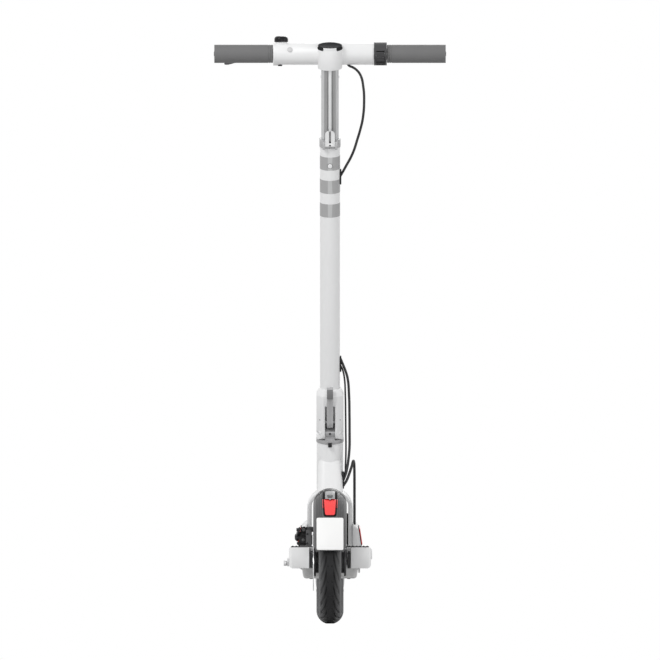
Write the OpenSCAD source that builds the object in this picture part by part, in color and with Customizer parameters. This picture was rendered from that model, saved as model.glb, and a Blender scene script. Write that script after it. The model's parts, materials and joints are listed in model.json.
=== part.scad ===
// Electric kick scooter with a folding stem, a telescopic handlebar, a hub
// motor in the front wheel and a disc brake on the rear wheel.
// +Y is forward, +X is the rider's right and +Z is up. The ground is Z = 0.

/* [Wheels] */
// Outer radius of both tyres
wheel_r = 118; // [114:1:122]
// Distance between the two axles
wheelbase = 840; // [810:5:880]
// Width of the front tyre
front_tyre_w = 52; // [46:1:54]
// Width of the rear tyre
rear_tyre_w = 43.5; // [40:0.5:46]
// Radius of the front motor shell under the tyre
front_rim_r = 74; // [70:1:78]
// Radius of the rear rim under the tyre
rear_rim_r = 76; // [72:1:80]
// Radius of both axles
axle_r = 6; // [5:0.5:7]
// Outer radius of the wheel bearings
bearing_r = 14; // [12:0.5:15]
// Width of each wheel bearing
bearing_w = 8; // [6:0.5:9]
// Half width of the front motor shell at its covers
motor_half = 28; // [27:0.5:30]
// Outer radius of the motor stator
stator_r = 56; // [48:1:58]

/* [Rear brake] */
// Radius of the brake disc
disc_r = 55; // [50:1:60]
// Thickness of the brake disc
disc_t = 1.8; // [1.5:0.1:2.2]
// Half width of the rear hub over its flanges
hub_half = 31; // [30:0.5:32]
// Gap between a brake pad and the disc
pad_gap = 0.8; // [0.6:0.1:1.2]
// Length of the caliper along the scooter
caliper_len = 38; // [32:1:44]

/* [Deck] */
// Width of the deck
deck_w = 157.4; // [146:0.2:170]
// Height of the deck's underside above the ground
deck_bottom = 106; // [103:0.5:109]
// Height of the deck
deck_h = 40.5; // [39:0.5:44]
// Distance from the rear axle forward to the deck's rear edge
well_len = 146; // [145:1:160]
// Length of the deck in front of the wheel well
deck_len = 500; // [470:5:515]
// Half width of the wheel well between the rear arms
well_half = 40; // [39:0.5:42]
// How far the rear arms reach behind the axle
arm_tail = 36; // [28:1:42]
// Depth of the belly cover below the deck
belly_drop = 19.4; // [15:0.2:24]
// Half width of the belly cover at its top
belly_half = 53.8; // [50:0.2:54]
// Thickness of the rubber mat
mat_t = 2; // [1.5:0.1:3]
// Distance between the grooves of the mat
mat_pitch = 6.8; // [4.5:0.1:8]

/* [Rear fender] */
// Half width of the rear fender
fender_half = 32.3; // [31:0.1:33]
// Gap between the rear tyre and the fender's crown
fender_gap = 20.6; // [17:0.2:24]
// Wall of the rear fender
fender_wall = 3; // [2.2:0.1:3.4]
// Width of the bare tail plate
plate_w = 51.6; // [44:0.2:58]
// Height of the bare tail plate
plate_h = 67; // [60:1:70]

/* [Stem] */
// Rearward lean of the stem
stem_lean = 15; // [14:0.5:16]
// Length of the head tube
head_len = 94; // [90:1:100]
// Radius of the head tube
head_r = 25.5; // [24.5:0.1:26]
// Radius of the steerer tube
steerer_r = 14.3; // [13.5:0.1:15]
// Thickness of the fold base's flange
flange_h = 7; // [6:0.5:9]
// Half width of the fold block
block_half = 26; // [25:0.2:28]
// Height of the fold block
block_h = 98.6; // [96:0.2:106]
// Radius of the fold pin
fold_pin_r = 4; // [3.5:0.1:4.5]
// Length of the main tube above the fold block
main_len = 480; // [475:1:490]
// Outer radius of the main tube
main_r = 19.2; // [18.8:0.05:20]
// Outer radius of the telescopic upper tube
upper_r = 17.1; // [16.6:0.1:17.4]
// Height of the quick-release collar
collar_h = 15.5; // [14:0.5:18]
// Length of upper tube that shows above the collar
drawn_len = 140.5; // [136:0.5:150]

/* [Handlebar] */
// Width over the grips
bar_w = 446; // [420:2:480]
// Radius of the bar tube inside the grips
bar_r = 11; // [10.5:0.1:11.5]
// Radius of the white bar sleeve
sleeve_r = 21; // [20:0.1:22]
// Left end of the bar sleeve
sleeve_left = 109; // [107:1:112]
// Right end of the bar sleeve
sleeve_right = 84; // [70:1:86]
// Width of the throttle housing
throttle_w = 25; // [23:0.5:28]
// Radius of the throttle housing
throttle_r = 22.25; // [21.5:0.05:23]
// Radius of the grips
grip_r = 17.5; // [16.5:0.1:18.5]
// Radius of the cylindrical head that joins stem and bar
head_cap_r = 23.5; // [22.5:0.1:24.5]
// Thickness of the round display
display_t = 5; // [4:0.2:6]
// Radius of the bell's dome
bell_r = 13.25; // [12:0.25:14]

/* [Hidden] */
$fn = 64;
white = [0.93, 0.93, 0.92];
black = [0.09, 0.09, 0.1];
dark = [0.24, 0.24, 0.25];
grey = [0.62, 0.62, 0.63];
steel = [0.72, 0.73, 0.75];
red = [0.85, 0.12, 0.12];

// Clearances: run for shafts, seat for pieces fixed together, bond for a glue film under a
// curved piece and gap for pieces that pass
run = 0.05;
seat = 0.02;
bond = 0.3;
gap = 0.4;

// Layout along the ground
fender_r = wheel_r + fender_gap + fender_wall;
front_axle_y = (wheelbase + fender_r - wheel_r) / 2;
rear_axle_y = front_axle_y - wheelbase;
deck_top = deck_bottom + deck_h;
deck_half = deck_w / 2;
well_clear = 4.4;
well_round = 10;
well_y = max(well_len, fender_r + well_clear);
well_front_y = rear_axle_y + well_y;
deck_front_y = well_front_y + deck_len;
deck_tail_y = rear_axle_y - arm_tail;

// Heights along the leaning stem, measured from the front axle
crown_under = wheel_r + 12;
crown_top = crown_under + 16;
head_bottom = crown_top + gap;
head_top = head_bottom + head_len;
flange_bottom = head_top + gap;
flange_top = flange_bottom + flange_h;
block_bottom = flange_top + gap;
block_top = block_bottom + block_h;
socket_depth = 25;
main_top = block_top + main_len;
collar_top = main_top + collar_h;
cap_bottom = collar_top + drawn_len;
bar_rise = 22.2;
bar_s = cap_bottom + bar_rise;
bar_fwd = 20;
display_rise = 17.4;
display_seat = bar_s + display_rise;

// Fold hinge at the lower rear edge of the block
hinge_r = 13;
hinge_n = hinge_r - block_half;
hinge_s = block_bottom + hinge_r;
lug_r = 11;
lug_half = 9.3;
slot_half = lug_half + 0.4;
lug_sweep = sqrt(hinge_r * hinge_r + lug_r * lug_r) + 0.8;
cam_r = 12;
lever_back = 6;
lever_n = hinge_n - lever_back;
lever_s = hinge_s + sqrt(pow(cam_r + lug_r + 0.5, 2) - lever_back * lever_back);
flange_r = block_half + 0.4;
pin_half = block_half - 4;
bumper_half = 3.6;
bumper_t = 5;
bumper_drop = 4.4;

// Wheel sections
front_sec_r = front_tyre_w / 2;
rear_sec_r = rear_tyre_w / 2;
front_bead = front_sec_r - 7;
rear_bead = rear_sec_r - 6.75;
lip = 5;
lip_t = 2.8;
tread_flat = 1;
nut_w = 6.4;
nut_r = 9.5;

// Motor inside the front hub, and the headset in the neck
bearing_inset = 1;
shell_in = motor_half - bearing_inset - bearing_w;
stator_half = shell_in - 5;
cup_h = 12;
cup_r = steerer_r + 6.7;

// Fork and its covers
leg_in = 35;
leg_t = 8.5;
leg_out = leg_in + leg_t;
leg_half = 14;
crown_round = 40;
crown_in_round = 14;
cover_x = 59.5;
cover_top = 81;
cover_low = 14;
cover_half = 20;
cover_drop = 11;
cover_slope = 34;
cover_in = 5;

// Rear dropouts and fender shape
drop_in = hub_half + disc_t + 0.7;
drop_w = 46;
drop_low = min(deck_bottom - wheel_r, -2 * axle_r);
drop_high = max(deck_bottom - wheel_r + 34, axle_r + 16);
fender_start = asin((deck_top - wheel_r) / fender_r) + 0.5;
fender_c = fender_r - fender_half;
skirt = 12;
plate_t = 2;
tail_angle = 23;
tail_d = (fender_r - plate_h / 2 * sin(tail_angle)) / cos(tail_angle);
light_h = 30;
light_top_half = 11.8;
light_low_half = 9.4;
notch_half = 2.4;
light_low = tail_d * sin(tail_angle) + plate_h / 2 * cos(tail_angle) + 5;
light_high = light_low + light_h;
catch_len = 24;
catch_gap = 2.4;
catch_angle = 180 - asin(light_high / fender_r) - (catch_len / 2 + catch_gap) / fender_r * 180 / PI;

// Rear brake places, measured from the rear axle
disc_in = -hub_half;
disc_out = disc_in - disc_t;
pad_back = 37;
cal_out = 60;
cal_y = 8;
cal_low = deck_top - wheel_r;
piston_r = 9;
pad_z = max(disc_r - 12, cal_low + piston_r + 2);
bridge_z = disc_r + 3;
bridge_h = 10;
arm_z = pad_z + 5;
arm_shaft_r = 5;

// Quick release, kickstand, charge port, brake lever and button places
qr_back = 24;
collar_proud = 1.2;
qr_n = -qr_back;
qr_s = collar_top - 7.8;
qr_half = 9.3;
qr_t = 3.2;
qr_len = 28.6;
qr_round = 7.4;
stand_half = 3;
stand_plate = 3.6;
stand_barrel_r = 5;
stand_pin_r = 2.5;
stand_x = -deck_half - seat - stand_plate - gap - stand_half;
stand_y = deck_front_y - 198;
stand_z = deck_bottom + 10;
charge_y = well_front_y + 142;
charge_z = deck_top - 13;
charge_r = 9;
boss_r = 9;
boss_ear = 6;
brake_pin_r = 3;
brake_x = boss_r - sleeve_left;
brake_n = bar_fwd + sleeve_r + 8;
brake_s = bar_s - 13.4;
button_x = 32 - sleeve_left;
button_up = 37.4;
button_r = 5.2;
bell_x = 15.3 - sleeve_left;
throttle_in = sleeve_right + gap;
throttle_out = sleeve_right + throttle_w;

// Cable routes from one grommet to the next, measured from the front axle
bar_route = [[38, -241, 952.4], [43, -241, 950.4], [51, -241, 945], [59, -240.5, 934], [64, -239, 912],
    [65.5, -236, 886], [63, -230, 852], [58, -224, 830], [52, -218, 810], [46, -213, 791],
    [39.4, -208, 776], [31, -204, 761], [24.9, -201, 750], [22.45, -199, 746]];
loom_route = [[24.65, -101.5, 380], [30.2, -98, 366], [34, -95, 352], [36.5, -89, 322],
    [37.4, -82, 282], [37.6, -78, 248], [37.4, -76, 220], [35, -77, 194], [32, -80, 176], [30, -80.6, 168.8]];
brake_route = [[24.05, -96.6, 369.8], [27.8, -94, 352], [29.4, -88, 322], [30, -81, 282],
    [30.3, -77, 248], [30.6, -74, 220], [30.2, -74, 198], [29.6, -74.4, 184], [29.2, -75, 173.2]];
motor_route = [[29.8, -79.6, 153.2], [32, -79, 157], [37, -76, 170], [42, -71, 185], [44.5, -63, 194],
    [46, -53, 192], [46.8, -44, 178], [47, -38, 152], [47, -34, 122], [47, -31, 96], [47, -29, 75.4]];
bar_cable_d = 4.5;
loom_d = 5;
brake_cable_d = 3.5;
motor_cable_d = 5.2;

// Places: at an axle, or in the leaning stem's frame with z along the stem and y forward
module at_front_axle() translate([0, front_axle_y, wheel_r]) children();
module at_rear_axle() translate([0, rear_axle_y, wheel_r]) children();
module on_stem() at_front_axle() rotate([stem_lean, 0, 0]) children();
module on_bar() on_stem() translate([0, bar_fwd, bar_s]) children();

// Rounds and extrusions along each axis
module rod_x(r, x0, x1) translate([x0, 0, 0]) rotate([0, 90, 0]) cylinder(r = r, h = x1 - x0);
module rod_y(r, y0, y1) translate([0, y1, 0]) rotate([90, 0, 0]) cylinder(r = r, h = y1 - y0);
module rod_z(r, z0, z1) translate([0, 0, z0]) cylinder(r = r, h = z1 - z0);
module ring_x(ri, ro, x0, x1) {
    difference() {
        rod_x(ro, x0, x1);
        rod_x(ri, x0 - 1, x1 + 1);
    }
}
module ring_z(ri, ro, z0, z1) {
    difference() {
        rod_z(ro, z0, z1);
        rod_z(ri, z0 - 1, z1 + 1);
    }
}
module block(x0, x1, y0, y1, z0, z1) translate([x0, y0, z0]) cube([x1 - x0, y1 - y0, z1 - z0]);
module slab_x(x0, x1) translate([x0, 0, 0]) rotate([90, 0, 90]) linear_extrude(x1 - x0) children();
module slab_y(y0, y1) translate([0, y1, 0]) rotate([90, 0, 0]) linear_extrude(y1 - y0) children();
module slab_z(z0, z1) translate([0, 0, z0]) linear_extrude(z1 - z0) children();
// A profile of (radius, x) turned about the X axis, all round or between two angles from +Y to +Z
module turn_x() rotate([0, 90, 0]) rotate_extrude() children();
module arc_x(a0, a1) rotate([0, 90, 0]) rotate([0, 0, a0 + 90]) rotate_extrude(angle = a1 - a0) children();
module both_sides() {
    children();
    mirror([1, 0, 0]) children();
}

// Rounded outline standing on its lower edge, with its own radius at the top and at the bottom
module round_box(w, h, top, low) {
    translate([-w / 2, low]) square([w, h - top - low]);
    translate([low - w / 2, 0]) square([w - 2 * low, low]);
    translate([top - w / 2, h - top]) square([w - 2 * top, top]);
    for (side = [-1, 1]) {
        translate([side * (w / 2 - low), low]) circle(low);
        translate([side * (w / 2 - top), h - top]) circle(top);
    }
}
// Upright slot outline about the origin
module slot_outline(w, h) {
    square([w, h - w], center = true);
    for (side = [-1, 1]) translate([0, side * (h - w) / 2]) circle(w / 2);
}

// A cable swept along its points, with two rings to each step of the route
function at_end(p, i) = p[max(0, min(len(p) - 1, i))];
function on_curve(p, i, t) = 0.5 * (2 * p[i] + (at_end(p, i + 1) - at_end(p, i - 1)) * t
    + (2 * at_end(p, i - 1) - 5 * p[i] + 4 * at_end(p, i + 1) - at_end(p, i + 2)) * t * t
    + (3 * p[i] - at_end(p, i - 1) - 3 * at_end(p, i + 1) + at_end(p, i + 2)) * t * t * t);
function curve(p, steps) = concat(
    [for (i = [0 : len(p) - 2], k = [0 : steps - 1]) on_curve(p, i, k / steps)], [p[len(p) - 1]]);
function unit(v) = v / norm(v);
function heading(c, i) = unit(at_end(c, i + 1) - at_end(c, i - 1));
function ring_points(c, i, r, sides) =
    let (t = heading(c, i), u = unit(cross(t, [0, 1, 0])), v = cross(t, u))
    [for (k = [0 : sides - 1]) c[i] + r * (cos(360 * k / sides) * u + sin(360 * k / sides) * v)];
module swept(route, d, sides, steps) {
    c = curve(route, steps);
    n = len(c);
    pts = [for (i = [0 : n - 1]) each ring_points(c, i, d / 2, sides)];
    walls = [for (i = [0 : n - 2], k = [0 : sides - 1])
        let (a = i * sides + k, b = i * sides + (k + 1) % sides)
        each [[a, b, b + sides], [a, b + sides, a + sides]]];
    ends = [[for (k = [0 : sides - 1]) sides - 1 - k], [for (k = [0 : sides - 1]) (n - 1) * sides + k]];
    polyhedron(pts, concat(walls, ends));
}

// Deck

module deck_plan(inset, y0, y1, front_r) {
    translate([0, y0]) round_box(deck_w - 2 * inset, y1 - y0, front_r, 6);
}
bay_half = 46;
bay_y0 = well_front_y + 40;
bay_y1 = deck_front_y - 45;
bay_top = deck_top - 6;

module deck_frame() color(white) {
    difference() {
        intersection() {
            slab_y(deck_tail_y, deck_front_y) translate([0, deck_bottom]) round_box(deck_w, deck_h, 3.5, 8);
            slab_z(deck_bottom - 1, deck_top + 1) deck_plan(0, deck_tail_y, deck_front_y, 34);
        }
        slab_z(deck_bottom - 1, deck_top + 1) translate([0, deck_tail_y - 40])
            round_box(2 * well_half, well_front_y - deck_tail_y + 40, well_round, 1);
        block(-bay_half, bay_half, bay_y0, bay_y1, deck_bottom - 1, bay_top);
        at_rear_axle() both_sides() rod_x(nut_r + 4, well_half - 1, well_half + nut_w + 4);
        translate([0, charge_y, charge_z]) rod_x(charge_r + seat, deck_half - 16, deck_half + 1);
    }
}

// Neck: lofted from the deck's front face up to the head tube
neck_low = [0, deck_front_y, deck_bottom + deck_h / 2];
neck_clear = 24;
neck_mid_rise = 67;
neck_mid = [0, front_axle_y - wheel_r - neck_clear, wheel_r + neck_mid_rise];
neck_low_w = 70;
neck_mid_w = 54;
neck_end_w = 46;
neck_end_back = 16;
neck_end_rise = 41.6;
neck_end_s = head_bottom + neck_end_rise;
neck_pad_back = 34;
neck_pad_rise = 26;
neck_pad_s = head_bottom + neck_pad_rise;
neck_pad_h = 34;
neck_pad_w = 14;
neck_pad_x = 22;

module neck_low_plate() translate(neck_low) slab_y(0, 1) translate([0, 1 - deck_h / 2])
    round_box(neck_low_w, deck_h - 4, 8, 8, $fn = 32);
module neck_mid_plate() translate(neck_mid) rotate([-37, 0, 0]) slab_z(0, 1) translate([0, -20])
    round_box(neck_mid_w, 40, 15, 15, $fn = 32);
module neck_end_plate() on_stem() translate([0, -neck_end_back, neck_end_s - 24])
    slab_y(-1, 0) round_box(neck_end_w, 48, 15, 15, $fn = 32);
module neck_pad(grow) on_stem() translate([0, -neck_pad_back, neck_pad_s])
    slab_x(neck_pad_x - grow, neck_pad_x + 5) slot_outline(neck_pad_w + 2 * grow, neck_pad_h + 2 * grow);

module neck() color(white) {
    difference() {
        union() {
            hull() {
                neck_low_plate();
                neck_mid_plate();
            }
            hull() {
                neck_mid_plate();
                neck_end_plate();
            }
            on_stem() rod_z(head_r, head_bottom, head_top);
        }
        on_stem() rod_z(cup_r + seat, head_bottom - 1, head_bottom + cup_h);
        on_stem() rod_z(cup_r + seat, head_top - cup_h, head_top + 1);
        on_stem() rod_z(steerer_r + 3, head_bottom - 1, head_top + 1);
        neck_pad(seat);
        block(-deck_half, deck_half, deck_tail_y, deck_front_y, deck_bottom, deck_top + mat_t + gap);
    }
}

module headset_cups() color(steel) on_stem() {
    ring_z(steerer_r + run, cup_r, head_bottom, head_bottom + cup_h);
    ring_z(steerer_r + run, cup_r, head_top - cup_h, head_top);
}
module neck_grommet() color(black) neck_pad(0);

mat_margin = 8;
mat_half = deck_half - 3.7;
mat_y0 = well_front_y + 5;
mat_y1 = deck_front_y - 12;
groove_count = floor((mat_half - mat_margin) / mat_pitch);
groove_half = 1.2;
groove_deep = mat_t - 0.5;
module deck_mat() color(dark) {
    difference() {
        slab_z(deck_top, deck_top + mat_t) deck_plan(3.7, mat_y0, mat_y1, 28);
        for (i = [-groove_count : groove_count])
            translate([i * mat_pitch, 0, 0])
                block(-groove_half, groove_half, mat_y0 - 1, mat_y1 - 30, deck_top + mat_t - groove_deep,
                    deck_top + mat_t + 1);
    }
}

belly_wall = 2.5;
belly_low = deck_bottom - belly_drop;
belly_y0 = bay_y0 - 8;
belly_y1 = bay_y1 + 8;
belly_taper = 2.8;
module belly_outline(inset, top) polygon([[-belly_half + inset, top], [belly_half - inset, top],
    [belly_half - belly_taper - inset, inset - belly_drop],
    [belly_taper + inset - belly_half, inset - belly_drop]]);
module belly_cover() color(grey) {
    difference() {
        translate([0, 0, deck_bottom]) slab_y(belly_y0, belly_y1) belly_outline(0, 0);
        translate([0, 0, deck_bottom]) slab_y(belly_y0 + belly_wall, belly_y1 - belly_wall)
            belly_outline(belly_wall, 1);
    }
    translate([belly_half + 2.2, belly_y0 + 30, 0]) rod_z(1.75, deck_bottom - 8.5, deck_bottom);
}
controller_room = 105;
pack_y1 = bay_y1 - controller_room;
module battery() color([0.2, 0.32, 0.55])
    block(-bay_half + 2, bay_half - 2, bay_y0 + 4, pack_y1, belly_low + belly_wall, bay_top);
module controller() color(steel)
    block(-bay_half + 6, bay_half - 6, pack_y1 + 8, bay_y1 - 6, belly_low + belly_wall, bay_top - 8);

module charge_socket() color(black) translate([0, charge_y, charge_z]) {
    difference() {
        rod_x(charge_r, deck_half - 16, deck_half);
        ring_x(2.5, charge_r - 2.5, deck_half - 3, deck_half + 1);
    }
}
cap_t = 1.8;
module charge_cap() color(black) translate([0, charge_y, charge_z]) {
    rod_x(charge_r + 1, deck_half + bond, deck_half + bond + cap_t);
    block(deck_half + bond, deck_half + bond + cap_t, 0, charge_r + 3, -3, 3);
    translate([deck_half + bond + cap_t / 2, charge_r + 3, 0]) rod_z(cap_t / 2, -3, 3);
}

// Kickstand on the deck's left side, folded back along it
module kickstand_bracket() color(white) translate([-deck_half - seat, stand_y, stand_z]) {
    difference() {
        slab_x(-stand_plate, 0) translate([0, -6]) round_box(26, 16, 4, 4);
        rod_x(stand_pin_r + run, -stand_plate - 1, 1);
    }
}
module kickstand() color(grey) translate([stand_x, stand_y, stand_z]) {
    leg = [[0, 0, 0, 2.9], [0, -60, 0, 2.9], [0.4, -0.98 * stand_z, -2.3, 2.4]];
    rod_x(stand_pin_r, 0, stand_half + gap + stand_plate - 0.3);
    rod_x(stand_barrel_r, -stand_half, stand_half);
    for (i = [0 : len(leg) - 2]) hull() for (p = [leg[i], leg[i + 1]])
        translate([p[0], p[1], p[2]]) sphere(p[3], $fn = 20);
}

// Rear wheel, its axle and the disc brake

module rear_dropouts() color(dark) at_rear_axle() both_sides() difference() {
    slab_x(drop_in, well_half) translate([0, drop_low]) round_box(drop_w, drop_high - drop_low, 8, 8);
    rod_x(axle_r + seat, drop_in - 1, well_half + 1);
}
module axle_nut(x) translate([x, 0, 0]) rotate([0, 90, 0]) cylinder(r = nut_r, h = nut_w, $fn = 6);
module rear_axle() color(steel) at_rear_axle() {
    rod_x(axle_r, -well_half - nut_w, well_half + nut_w);
    both_sides() axle_nut(well_half);
}
module rear_hub() color(dark) at_rear_axle() {
    web = 4;
    difference() {
        union() {
            turn_x() difference() {
                translate([rear_rim_r - 8, -rear_bead - lip_t]) square([8 + lip, 2 * (rear_bead + lip_t)]);
                translate([rear_rim_r, -rear_bead - seat]) square([lip + 1, 2 * (rear_bead + seat)]);
            }
            rod_x(rear_rim_r - 6, -web, web);
            rod_x(bearing_r + 7, -hub_half, hub_half);
            both_sides() rod_x(bearing_r + 13, hub_half - 4, hub_half);
        }
        rod_x(axle_r + 2, -hub_half - 1, hub_half + 1);
        both_sides() rod_x(bearing_r + seat, hub_half - 4 - bearing_w, hub_half + 1);
        for (a = [0 : 60 : 300]) rotate([a, 0, 0]) translate([0, 0, (rear_rim_r + bearing_r) / 2])
            rod_x(13, -web - 1, web + 1);
    }
}
module tyre_section(sec_r, bead, rim_r) {
    difference() {
        union() {
            intersection() {
                translate([wheel_r + tread_flat - sec_r, 0]) circle(sec_r);
                translate([0, -sec_r]) square([wheel_r, 2 * sec_r]);
            }
            translate([rim_r + seat, -bead]) square([wheel_r - sec_r - rim_r, 2 * bead]);
        }
        translate([0, -sec_r - 1]) square([rim_r + seat, 2 * sec_r + 2]);
        for (side = [-1, 1]) translate([rim_r - 1, side * (bead + lip_t / 2 + 1) - lip_t / 2 - 1])
            square([lip + 1.5, lip_t + 2]);
    }
}
module rear_tyre() color(black) at_rear_axle() turn_x() tyre_section(rear_sec_r, rear_bead, rear_rim_r);
module bearing_pair(outer) both_sides() ring_x(axle_r + run, bearing_r, outer - bearing_w, outer);
module rear_bearings() color(steel) at_rear_axle() bearing_pair(hub_half - 4);
module disc_holes(count, at_r, r) for (i = [0 : count - 1]) rotate([360 * i / count, 0, 0])
    translate([0, 0, at_r]) rod_x(r, disc_out - 1, disc_in + 1);
module brake_disc() color(steel) at_rear_axle() {
    difference() {
        ring_x(bearing_r, disc_r, disc_out, disc_in);
        disc_holes(12, disc_r - 9, 3);
        disc_holes(5, disc_r - 21, 5);
    }
}
module caliper_body() color(black) at_rear_axle() translate([0, cal_y, 0]) {
    half = caliper_len / 2;
    inner = disc_in + pad_gap + 5.2;
    difference() {
        union() {
            block(-cal_out, -pad_back, -half, half, cal_low, bridge_z + bridge_h);
            block(-cal_out, inner, -half + 4, half - 4, bridge_z, bridge_z + bridge_h);
            block(disc_in + pad_gap + 1, inner, -half + 4, half - 4, pad_z - 10, bridge_z + bridge_h);
            translate([0, 0, pad_z]) rod_x(piston_r, disc_in + pad_gap, disc_in + pad_gap + 2);
        }
        translate([0, 0, pad_z]) rod_x(piston_r + run, -pad_back - 9, -pad_back + 1);
        translate([0, 0, arm_z]) rod_x(arm_shaft_r + run, -cal_out - 1, -cal_out + 12);
    }
}
module brake_pad() color([0.35, 0.25, 0.2]) at_rear_axle() translate([0, cal_y, pad_z]) {
    rod_x(piston_r, -pad_back - 8, disc_out - pad_gap);
}
module caliper_arm() color(grey) at_rear_axle() translate([0, cal_y, arm_z]) {
    rod_x(arm_shaft_r, -cal_out - 1, -cal_out + 11);
    rod_x(8, -cal_out - 5, -cal_out - 0.3);
    rotate([55, 0, 0]) slab_x(-cal_out - 5, -cal_out - 0.8) translate([0, 13]) slot_outline(9, 34);
}

// Rear fender with its catch, lamp and bare plate

module fender_outline(grow) intersection() {
    union() {
        translate([fender_c, 0]) circle(fender_half + grow);
        translate([fender_c - skirt, -fender_half - grow]) square([skirt, 2 * (fender_half + grow)]);
    }
    translate([fender_c - skirt, -100]) square([200, 200]);
}
module fender_inside(grow) union() {
    translate([fender_c, 0]) circle(fender_half + grow);
    translate([fender_c - skirt - 40, -fender_half - grow]) square([skirt + 40, 2 * (fender_half + grow)]);
}
// A patch of the fender's crown, from one depth to another, under an outline seen from behind
module crown_patch(from, to) intersection() {
    arc_x(90, 175) difference() {
        fender_outline(to);
        fender_inside(from);
    }
    slab_y(-fender_r - 10, -20) children();
}
module light_outline() polygon([[-light_top_half, light_high], [-notch_half, light_high],
    [0, light_high - notch_half], [notch_half, light_high], [light_top_half, light_high],
    [light_low_half, light_low], [-light_low_half, light_low]]);
module on_tail() rotate([-tail_angle, 0, 0]) translate([0, -tail_d, -plate_h / 2]) children();
module tail_pocket(depth, grow) on_tail() slab_y(-20, depth) translate([0, -grow])
    round_box(plate_w + 2 * grow, plate_h + 2 * grow, 3, 3);

foot_half = well_half - well_round - seat;
tail_rim = 0.4;
tail_edge = 3;
tail_corner = [[plate_w / 2 + 1, 20], [fender_half + 1, 35]];
module rear_fender() color(dark) at_rear_axle() {
    difference() {
        union() {
            arc_x(fender_start, 171) fender_outline(0);
            for (x = [-20, -12, 12, 20]) arc_x(fender_start + 2, 105)
                translate([fender_c + sqrt(pow(fender_half, 2) - x * x), x]) circle(1.2);
            block(-fender_half, fender_half, fender_r - 20, well_y - gap, 4, deck_top - wheel_r);
            block(-foot_half, foot_half, fender_r - 20, well_y, 4, deck_top - wheel_r);
        }
        arc_x(-2, 182) fender_inside(-fender_wall);
        crown_patch(-1.2, 8) light_outline();
        tail_pocket(plate_t + seat, tail_rim);
        both_sides() slab_y(-fender_r - 1, -fender_c / 2)
            polygon(concat(tail_corner, [[fender_half + 1, -1], [plate_w / 2 + 1, -1]]));
    }
    intersection() {
        arc_x(90, 171) fender_outline(0);
        on_tail() slab_y(plate_t + seat, plate_t + fender_wall + 2) translate([0, -tail_edge])
            round_box(plate_w + 2 * tail_edge, plate_h + 2 * tail_edge, 3, 3);
    }
}
module tail_light() color(red) at_rear_axle() crown_patch(-1.2 + seat, 1.8) light_outline();
module on_crown() rotate([catch_angle - 90, 0, 0]) translate([0, 0, fender_r]) children();
module fender_catch() color(grey) at_rear_axle() {
    difference() {
        on_crown() translate([0, 0, -6]) slab_y(-catch_len / 2, catch_len / 2) round_box(19, 10, 3, 1);
        arc_x(80, 150, $fn = 256) fender_inside(bond);
        on_crown() block(-5, 5, -16, -4, 1.4, 6);
    }
}
module tail_plate() color(white) at_rear_axle() on_tail()
    slab_y(0, plate_t) round_box(plate_w, plate_h, 3, 3);

// Front end

module fork() color(white) on_stem() {
    difference() {
        union() {
            slab_y(-leg_half, leg_half) difference() {
                translate([0, -20]) round_box(2 * leg_out, crown_top + 20, crown_round, 8);
                translate([0, -22]) round_box(2 * leg_in, crown_under + 22, crown_in_round, 1);
            }
            rod_z(steerer_r, crown_top - 1, flange_top);
        }
        rod_z(steerer_r - 3, crown_under - 1, flange_top + 1);
        rod_x(axle_r + seat, -leg_out - 1, leg_out + 1);
    }
}
module cover_outline() polygon([[leg_out, cover_top], [cover_x - cover_in, cover_top - cover_drop],
    [cover_x, cover_top - cover_drop - cover_slope], [cover_x, -cover_low / 2], [cover_x - 6, -cover_low],
    [leg_out, -cover_low]]);
module fork_covers() color(white) on_stem() both_sides() difference() {
    intersection() {
        slab_y(-cover_half, cover_half) cover_outline();
        slab_x(leg_out, cover_x + 1) translate([0, -cover_low])
            round_box(2 * cover_half, cover_top + cover_low, 10, cover_half - 1);
    }
    rod_x(nut_r + 2.5, leg_out - 1, leg_out + nut_w + 2);
}
lens_tilt = atan(cover_in / cover_slope);
lens_t = 3;
module reflectors() color(red) on_stem() both_sides()
    translate([cover_x - cover_in, 0, cover_top - cover_drop]) rotate([0, -lens_tilt, 0])
        slab_x(0, lens_t) translate([0, -cover_slope]) round_box(cover_half, cover_slope - 1, 3, 3);
guard_r = wheel_r + 4;
guard_t = 2.5;
guard_half = 30;
module front_mudguard() color(black) at_front_axle() rotate([stem_lean, 0, 0]) {
    arc_x(45, 160) {
        translate([guard_r, -guard_half]) square([guard_t, 2 * guard_half]);
        for (side = [-1, 1]) translate([guard_r - 8, side * (guard_half - 1) - 1]) square([9, 2]);
    }
    block(-12, 12, -10, 10, guard_r + 1, crown_under);
}
module front_axle() color(steel) on_stem() {
    rod_x(axle_r, -leg_out - nut_w, leg_out + nut_w);
    both_sides() rod_x(axle_r + 3, motor_half + gap, leg_in);
    both_sides() axle_nut(leg_out);
}
module motor_stator() color([0.72, 0.45, 0.2]) on_stem() {
    difference() {
        ring_x(axle_r + seat, stator_r, -stator_half, stator_half);
        for (a = [0 : 20 : 340]) rotate([a, 0, 0]) block(-20, 20, -2.5, 2.5, stator_r - 14, stator_r + 1);
    }
}
module front_hub() color(grey) at_front_axle() turn_x() {
    edge = [[stator_r + 4, shell_in], [bearing_r + seat, shell_in], [bearing_r + seat, motor_half],
        [bearing_r + 12, motor_half], [stator_r - 16, motor_half - 0.5], [front_rim_r - 8, shell_in + 4.5],
        [front_rim_r, front_bead + lip_t], [front_rim_r + lip, front_bead + lip_t],
        [front_rim_r + lip, front_bead + seat], [front_rim_r, front_bead + seat]];
    last = len(edge) - 1;
    polygon(concat(edge, [for (i = [last : -1 : 0]) [edge[i][0], -edge[i][1]]]));
}
module front_tyre() color(black) at_front_axle()
    turn_x() tyre_section(front_sec_r, front_bead, front_rim_r);
module front_bearings() color(steel) at_front_axle() bearing_pair(motor_half - bearing_inset);

// Fold joint

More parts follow.
